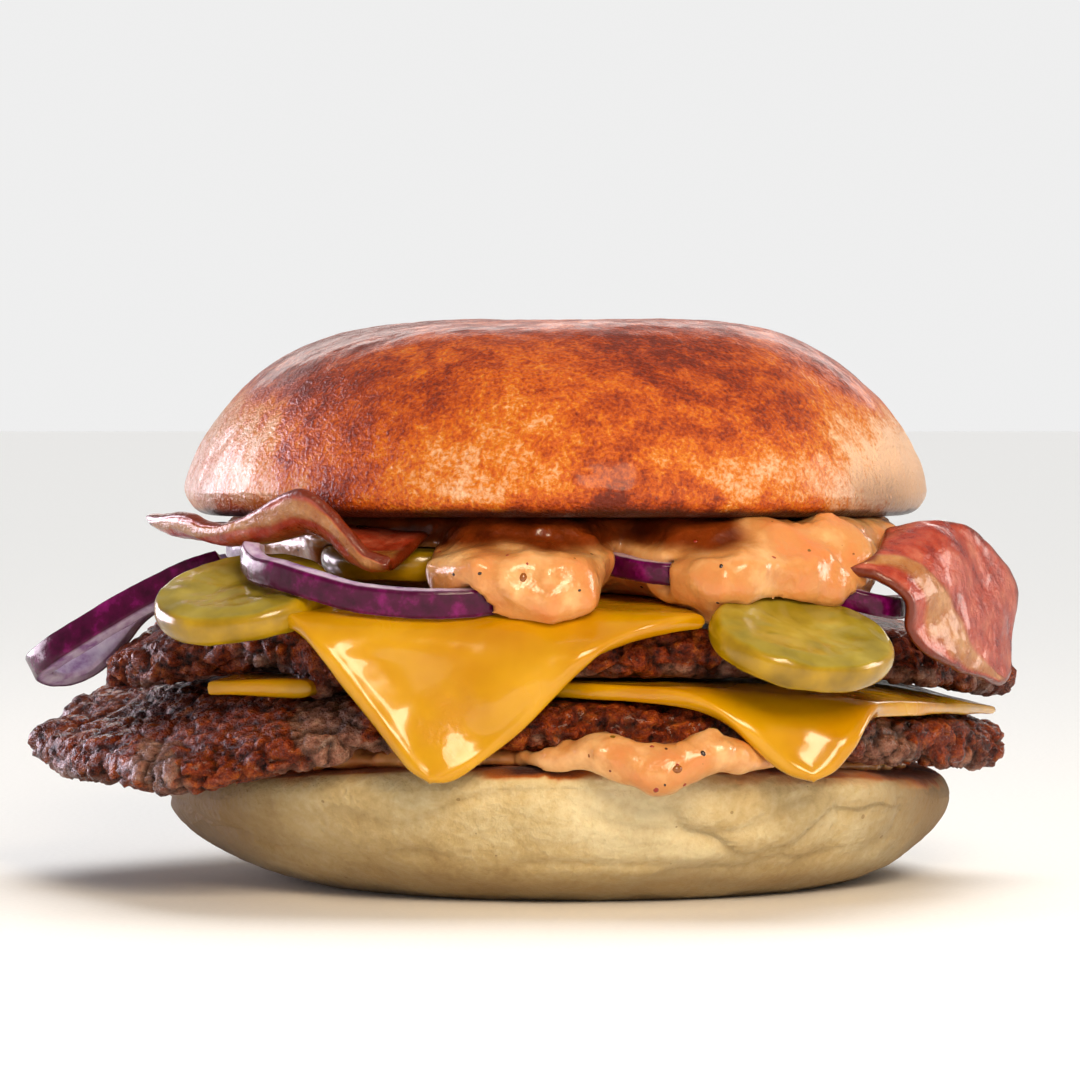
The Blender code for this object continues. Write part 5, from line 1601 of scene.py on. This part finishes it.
class BURGER_OT_patties(bpy.types.Operator):
    """Builds both beef patties"""

    bl_idname = "burger.patties"
    bl_label = "Beef patties"

    def execute(self, context):
        sizes = context.scene.burger_sizes
        material = shared_material(seared_meat, context.scene.burger_colours)
        lower = make_patty(
            "beef_lower", PATTY_LOWER_BASE, LOWER_BASE_SAG, PATTY_LOWER_TOP, LOWER_SAG,
            PATTY_LOWER_RADIUS, PATTY_LOWER_LOBES, PATTY_LOWER_DROOPS, (), (), 11, sizes,
        )
        upper = make_patty(
            "beef_upper", PATTY_UPPER_BASE, UPPER_BASE_SAG, PATTY_UPPER_TOP, UPPER_SAG,
            PATTY_UPPER_RADIUS, PATTY_UPPER_LOBES, PATTY_UPPER_DROOPS, SETTLED, UPPER_HANGS, 13, sizes,
        )
        take_over(lower, material, "seared_beef", "patty_lower")
        take_over(upper, material, "seared_beef", "patty_upper")
        return {"FINISHED"}


class BURGER_OT_cheese(bpy.types.Operator):
    """Builds the slices of cheese"""

    bl_idname = "burger.cheese"
    bl_label = "Cheese slices"

    def execute(self, context):
        material = shared_material(melted_cheese, context.scene.burger_colours)
        for made, cad_node in zip(make_cheeses(), ("cheese_upper", "cheese_lower", "cheese_side")):
            take_over(made, material, "melted_cheese", cad_node)
        return {"FINISHED"}


class BURGER_OT_sauce(bpy.types.Operator):
    """Builds the sauce under and over the patties, with its seeds and bits"""

    bl_idname = "burger.sauce"
    bl_label = "Sauce"

    def execute(self, context):
        sizes = context.scene.burger_sizes
        material = shared_material(burger_sauce, context.scene.burger_colours)
        upper = make_sauce("sauce_on_top", "sauce_upper", 0.0003, SAUCE_PULLS, 41, sizes)
        # Painted shade of the top bun on the upper sauce; the lower sauce gets none
        paint(upper, "soaked", soaked_share(places_of(upper)))
        take_over(upper, material, "burger_sauce", "sauce_upper")
        lower = make_sauce("sauce_below", "sauce_lower", 0.0002, (), 43, sizes)
        paint(lower, "soaked", np.zeros(len(lower.data.vertices)))
        take_over(lower, material, "burger_sauce", "sauce_lower")
        bits = scatter_bits(upper, lower, sizes.seeds)
        take_over(bits, shared_material(seeds_and_relish, context.scene.burger_colours), "burger_sauce")
        return {"FINISHED"}


class BURGER_OT_pickles(bpy.types.Operator):
    """Builds the pickle slices"""

    bl_idname = "burger.pickles"
    bl_label = "Pickle slices"

    def execute(self, context):
        material = shared_material(pickled_gherkin, context.scene.burger_colours)
        for cad_node, numbers in PICKLES.items():
            take_over(make_pickle(cad_node + "_slice", *numbers), material, "pickle", cad_node)
        return {"FINISHED"}


class BURGER_OT_onions(bpy.types.Operator):
    """Builds the strips of red onion"""

    bl_idname = "burger.onions"
    bl_label = "Onion strips"

    def execute(self, context):
        material = shared_material(red_onion, context.scene.burger_colours)
        for cad_node, numbers in ONIONS.items():
            take_over(make_onion(cad_node + "_strip", *numbers, 200), material, "red_onion", cad_node)
        return {"FINISHED"}


class BURGER_OT_bacon(bpy.types.Operator):
    """Builds the rashers of bacon"""

    bl_idname = "burger.bacon"
    bl_label = "Bacon"

    def execute(self, context):
        material = shared_material(crisp_bacon, context.scene.burger_colours)
        for cad_node, numbers in BACONS.items():
            take_over(make_bacon(cad_node + "_rasher", *numbers), material, "bacon", cad_node)
        return {"FINISHED"}


def white_cove(dim):
    """Surroundings: a white cove behind the burger that is lit for the camera, in a dim studio that keeps
    contrast in the gloss."""
    world = bpy.data.worlds.new("white_cove")
    world.use_nodes = True
    tree = world.node_tree
    tree.nodes.clear()
    direction = node(tree, "ShaderNodeTexCoord").outputs["Generated"]
    height = node(tree, "ShaderNodeSeparateXYZ", {0: direction}).outputs[2]
    strength = node(
        tree, "ShaderNodeMapRange",
        {"Value": height, "From Min": 0.05, "From Max": 0.30, "To Min": 1.5 * dim, "To Max": dim},
        interpolation_type="SMOOTHSTEP",
    )
    seen = node(tree, "ShaderNodeLightPath").outputs["Is Camera Ray"]
    mixed = node(
        tree, "ShaderNodeMix", {0: seen, 2: strength.outputs[0], 3: BACKDROP_GLOW}, data_type="FLOAT",
    )
    glow = node(tree, "ShaderNodeBackground", {"Color": "#ffffff", "Strength": mixed.outputs[0]})
    node(tree, "ShaderNodeOutputWorld", {"Surface": glow.outputs[0]})
    return world


class BURGER_OT_stage(bpy.types.Operator):
    """Sets up the floor, the lights, the surroundings and the camera"""

    bl_idname = "burger.stage"
    bl_label = "Stage"

    def execute(self, context):
        settings = context.scene.burger_stage
        floor = mesh_object("floor", [(-4, -4, 0), (4, -4, 0), (4, 4, 0), (-4, 4, 0)], [(0, 1, 2, 3)])
        floor.data.materials.append(matte_paper())
        target = Vector(VIEW_TARGET)
        # Name, place, width, height, power, colour, and whether it lights the floor
        lamps = (
            ("key_softbox", (0.13, -0.50, 0.31), 0.20, 0.20, settings.key_power, "#ffe8c8", True),
            ("rim_softbox", (-0.52, 0.24, 0.13), 0.52, 0.26, settings.rim_power, "#f8e6f6", False),
            ("side_softbox", (0.60, 0.06, 0.19), 0.22, 0.22, settings.side_power, "#ffece0", False),
            ("back_strip", (0.05, 0.62, 0.26), 0.60, 0.08, settings.back_power, "#fff6f0", False),
        )
        for name, spot, width, height, power, colour, lights_floor in lamps:
            data = bpy.data.lights.new(name, "AREA")
            data.shape = "RECTANGLE"
            data.size, data.size_y = width, height
            data.energy = power
            data.color = linear(colour)[:3]
            lamp = bpy.data.objects.new(name, data)
            lamp.visible_diffuse = lights_floor
            lamp.location = spot
            lamp.rotation_euler = (target - Vector(spot)).to_track_quat("-Z", "Y").to_euler()
            context.scene.collection.objects.link(lamp)
        sun = bpy.data.lights.new("ceiling_light", "SUN")
        sun.energy = settings.ceiling_power
        sun.angle = math.radians(50.0)
        ceiling = bpy.data.objects.new("ceiling_light", sun)
        ceiling.visible_glossy = False
        ceiling.rotation_euler = (math.radians(-22.0), math.radians(10.0), 0.0)
        context.scene.collection.objects.link(ceiling)
        context.scene.world = white_cove(settings.surround)
        context.scene.view_settings.view_transform = "Standard"
        data = bpy.data.cameras.new("photo_camera")
        data.sensor_width = SENSOR_WIDTH
        distance_mm = settings.camera_distance * 1000.0
        data.lens = SENSOR_WIDTH * PIXELS_PER_MM * distance_mm / IMAGE_SIDE
        data.clip_start, data.clip_end = 0.01, 20.0
        camera = bpy.data.objects.new("photo_camera", data)
        camera.location = target + settings.camera_distance * Vector(
            (0.0, -math.cos(settings.camera_height), math.sin(settings.camera_height))
        )
        camera.rotation_euler = (math.pi / 2 - settings.camera_height, 0.0, 0.0)
        context.scene.collection.objects.link(camera)
        context.scene.camera = camera
        return {"FINISHED"}


class BURGER_PT_panel(bpy.types.Panel):
    """Lists the settings and the operators"""

    bl_label = "Double cheeseburger"
    bl_idname = "BURGER_PT_panel"
    bl_space_type = "VIEW_3D"
    bl_region_type = "UI"
    bl_category = "Burger"

    def draw(self, context):
        for group in (context.scene.burger_sizes, context.scene.burger_colours, context.scene.burger_stage):
            box = self.layout.box()
            for name in group.__annotations__:
                box.prop(group, name)
        for operator in OPERATORS:
            self.layout.operator(operator.bl_idname)


OPERATORS = (
    BURGER_OT_stage,
    BURGER_OT_bottom_bun,
    BURGER_OT_patties,
    BURGER_OT_cheese,
    BURGER_OT_sauce,
    BURGER_OT_pickles,
    BURGER_OT_onions,
    BURGER_OT_bacon,
    BURGER_OT_top_bun,
)
CLASSES = (BurgerColours, BurgerSizes, StageSettings, *OPERATORS, BURGER_PT_panel)


def register():
    """Adds the settings, the operators and the panel."""
    for made in CLASSES:
        bpy.utils.register_class(made)
    bpy.types.Scene.burger_colours = PointerProperty(type=BurgerColours)
    bpy.types.Scene.burger_sizes = PointerProperty(type=BurgerSizes)
    bpy.types.Scene.burger_stage = PointerProperty(type=StageSettings)


def unregister():
    """Takes them away again."""
    for name in ("burger_colours", "burger_sizes", "burger_stage"):
        delattr(bpy.types.Scene, name)
    for made in reversed(CLASSES):
        bpy.utils.unregister_class(made)


def main():
    """Builds every piece and the stage."""
    register()
    bpy.ops.burger.stage()
    bpy.ops.burger.bottom_bun()
    bpy.ops.burger.patties()
    bpy.ops.burger.cheese()
    bpy.ops.burger.sauce()
    bpy.ops.burger.pickles()
    bpy.ops.burger.onions()
    bpy.ops.burger.bacon()
    bpy.ops.burger.top_bun()


if __name__ == "__main__":
    main()
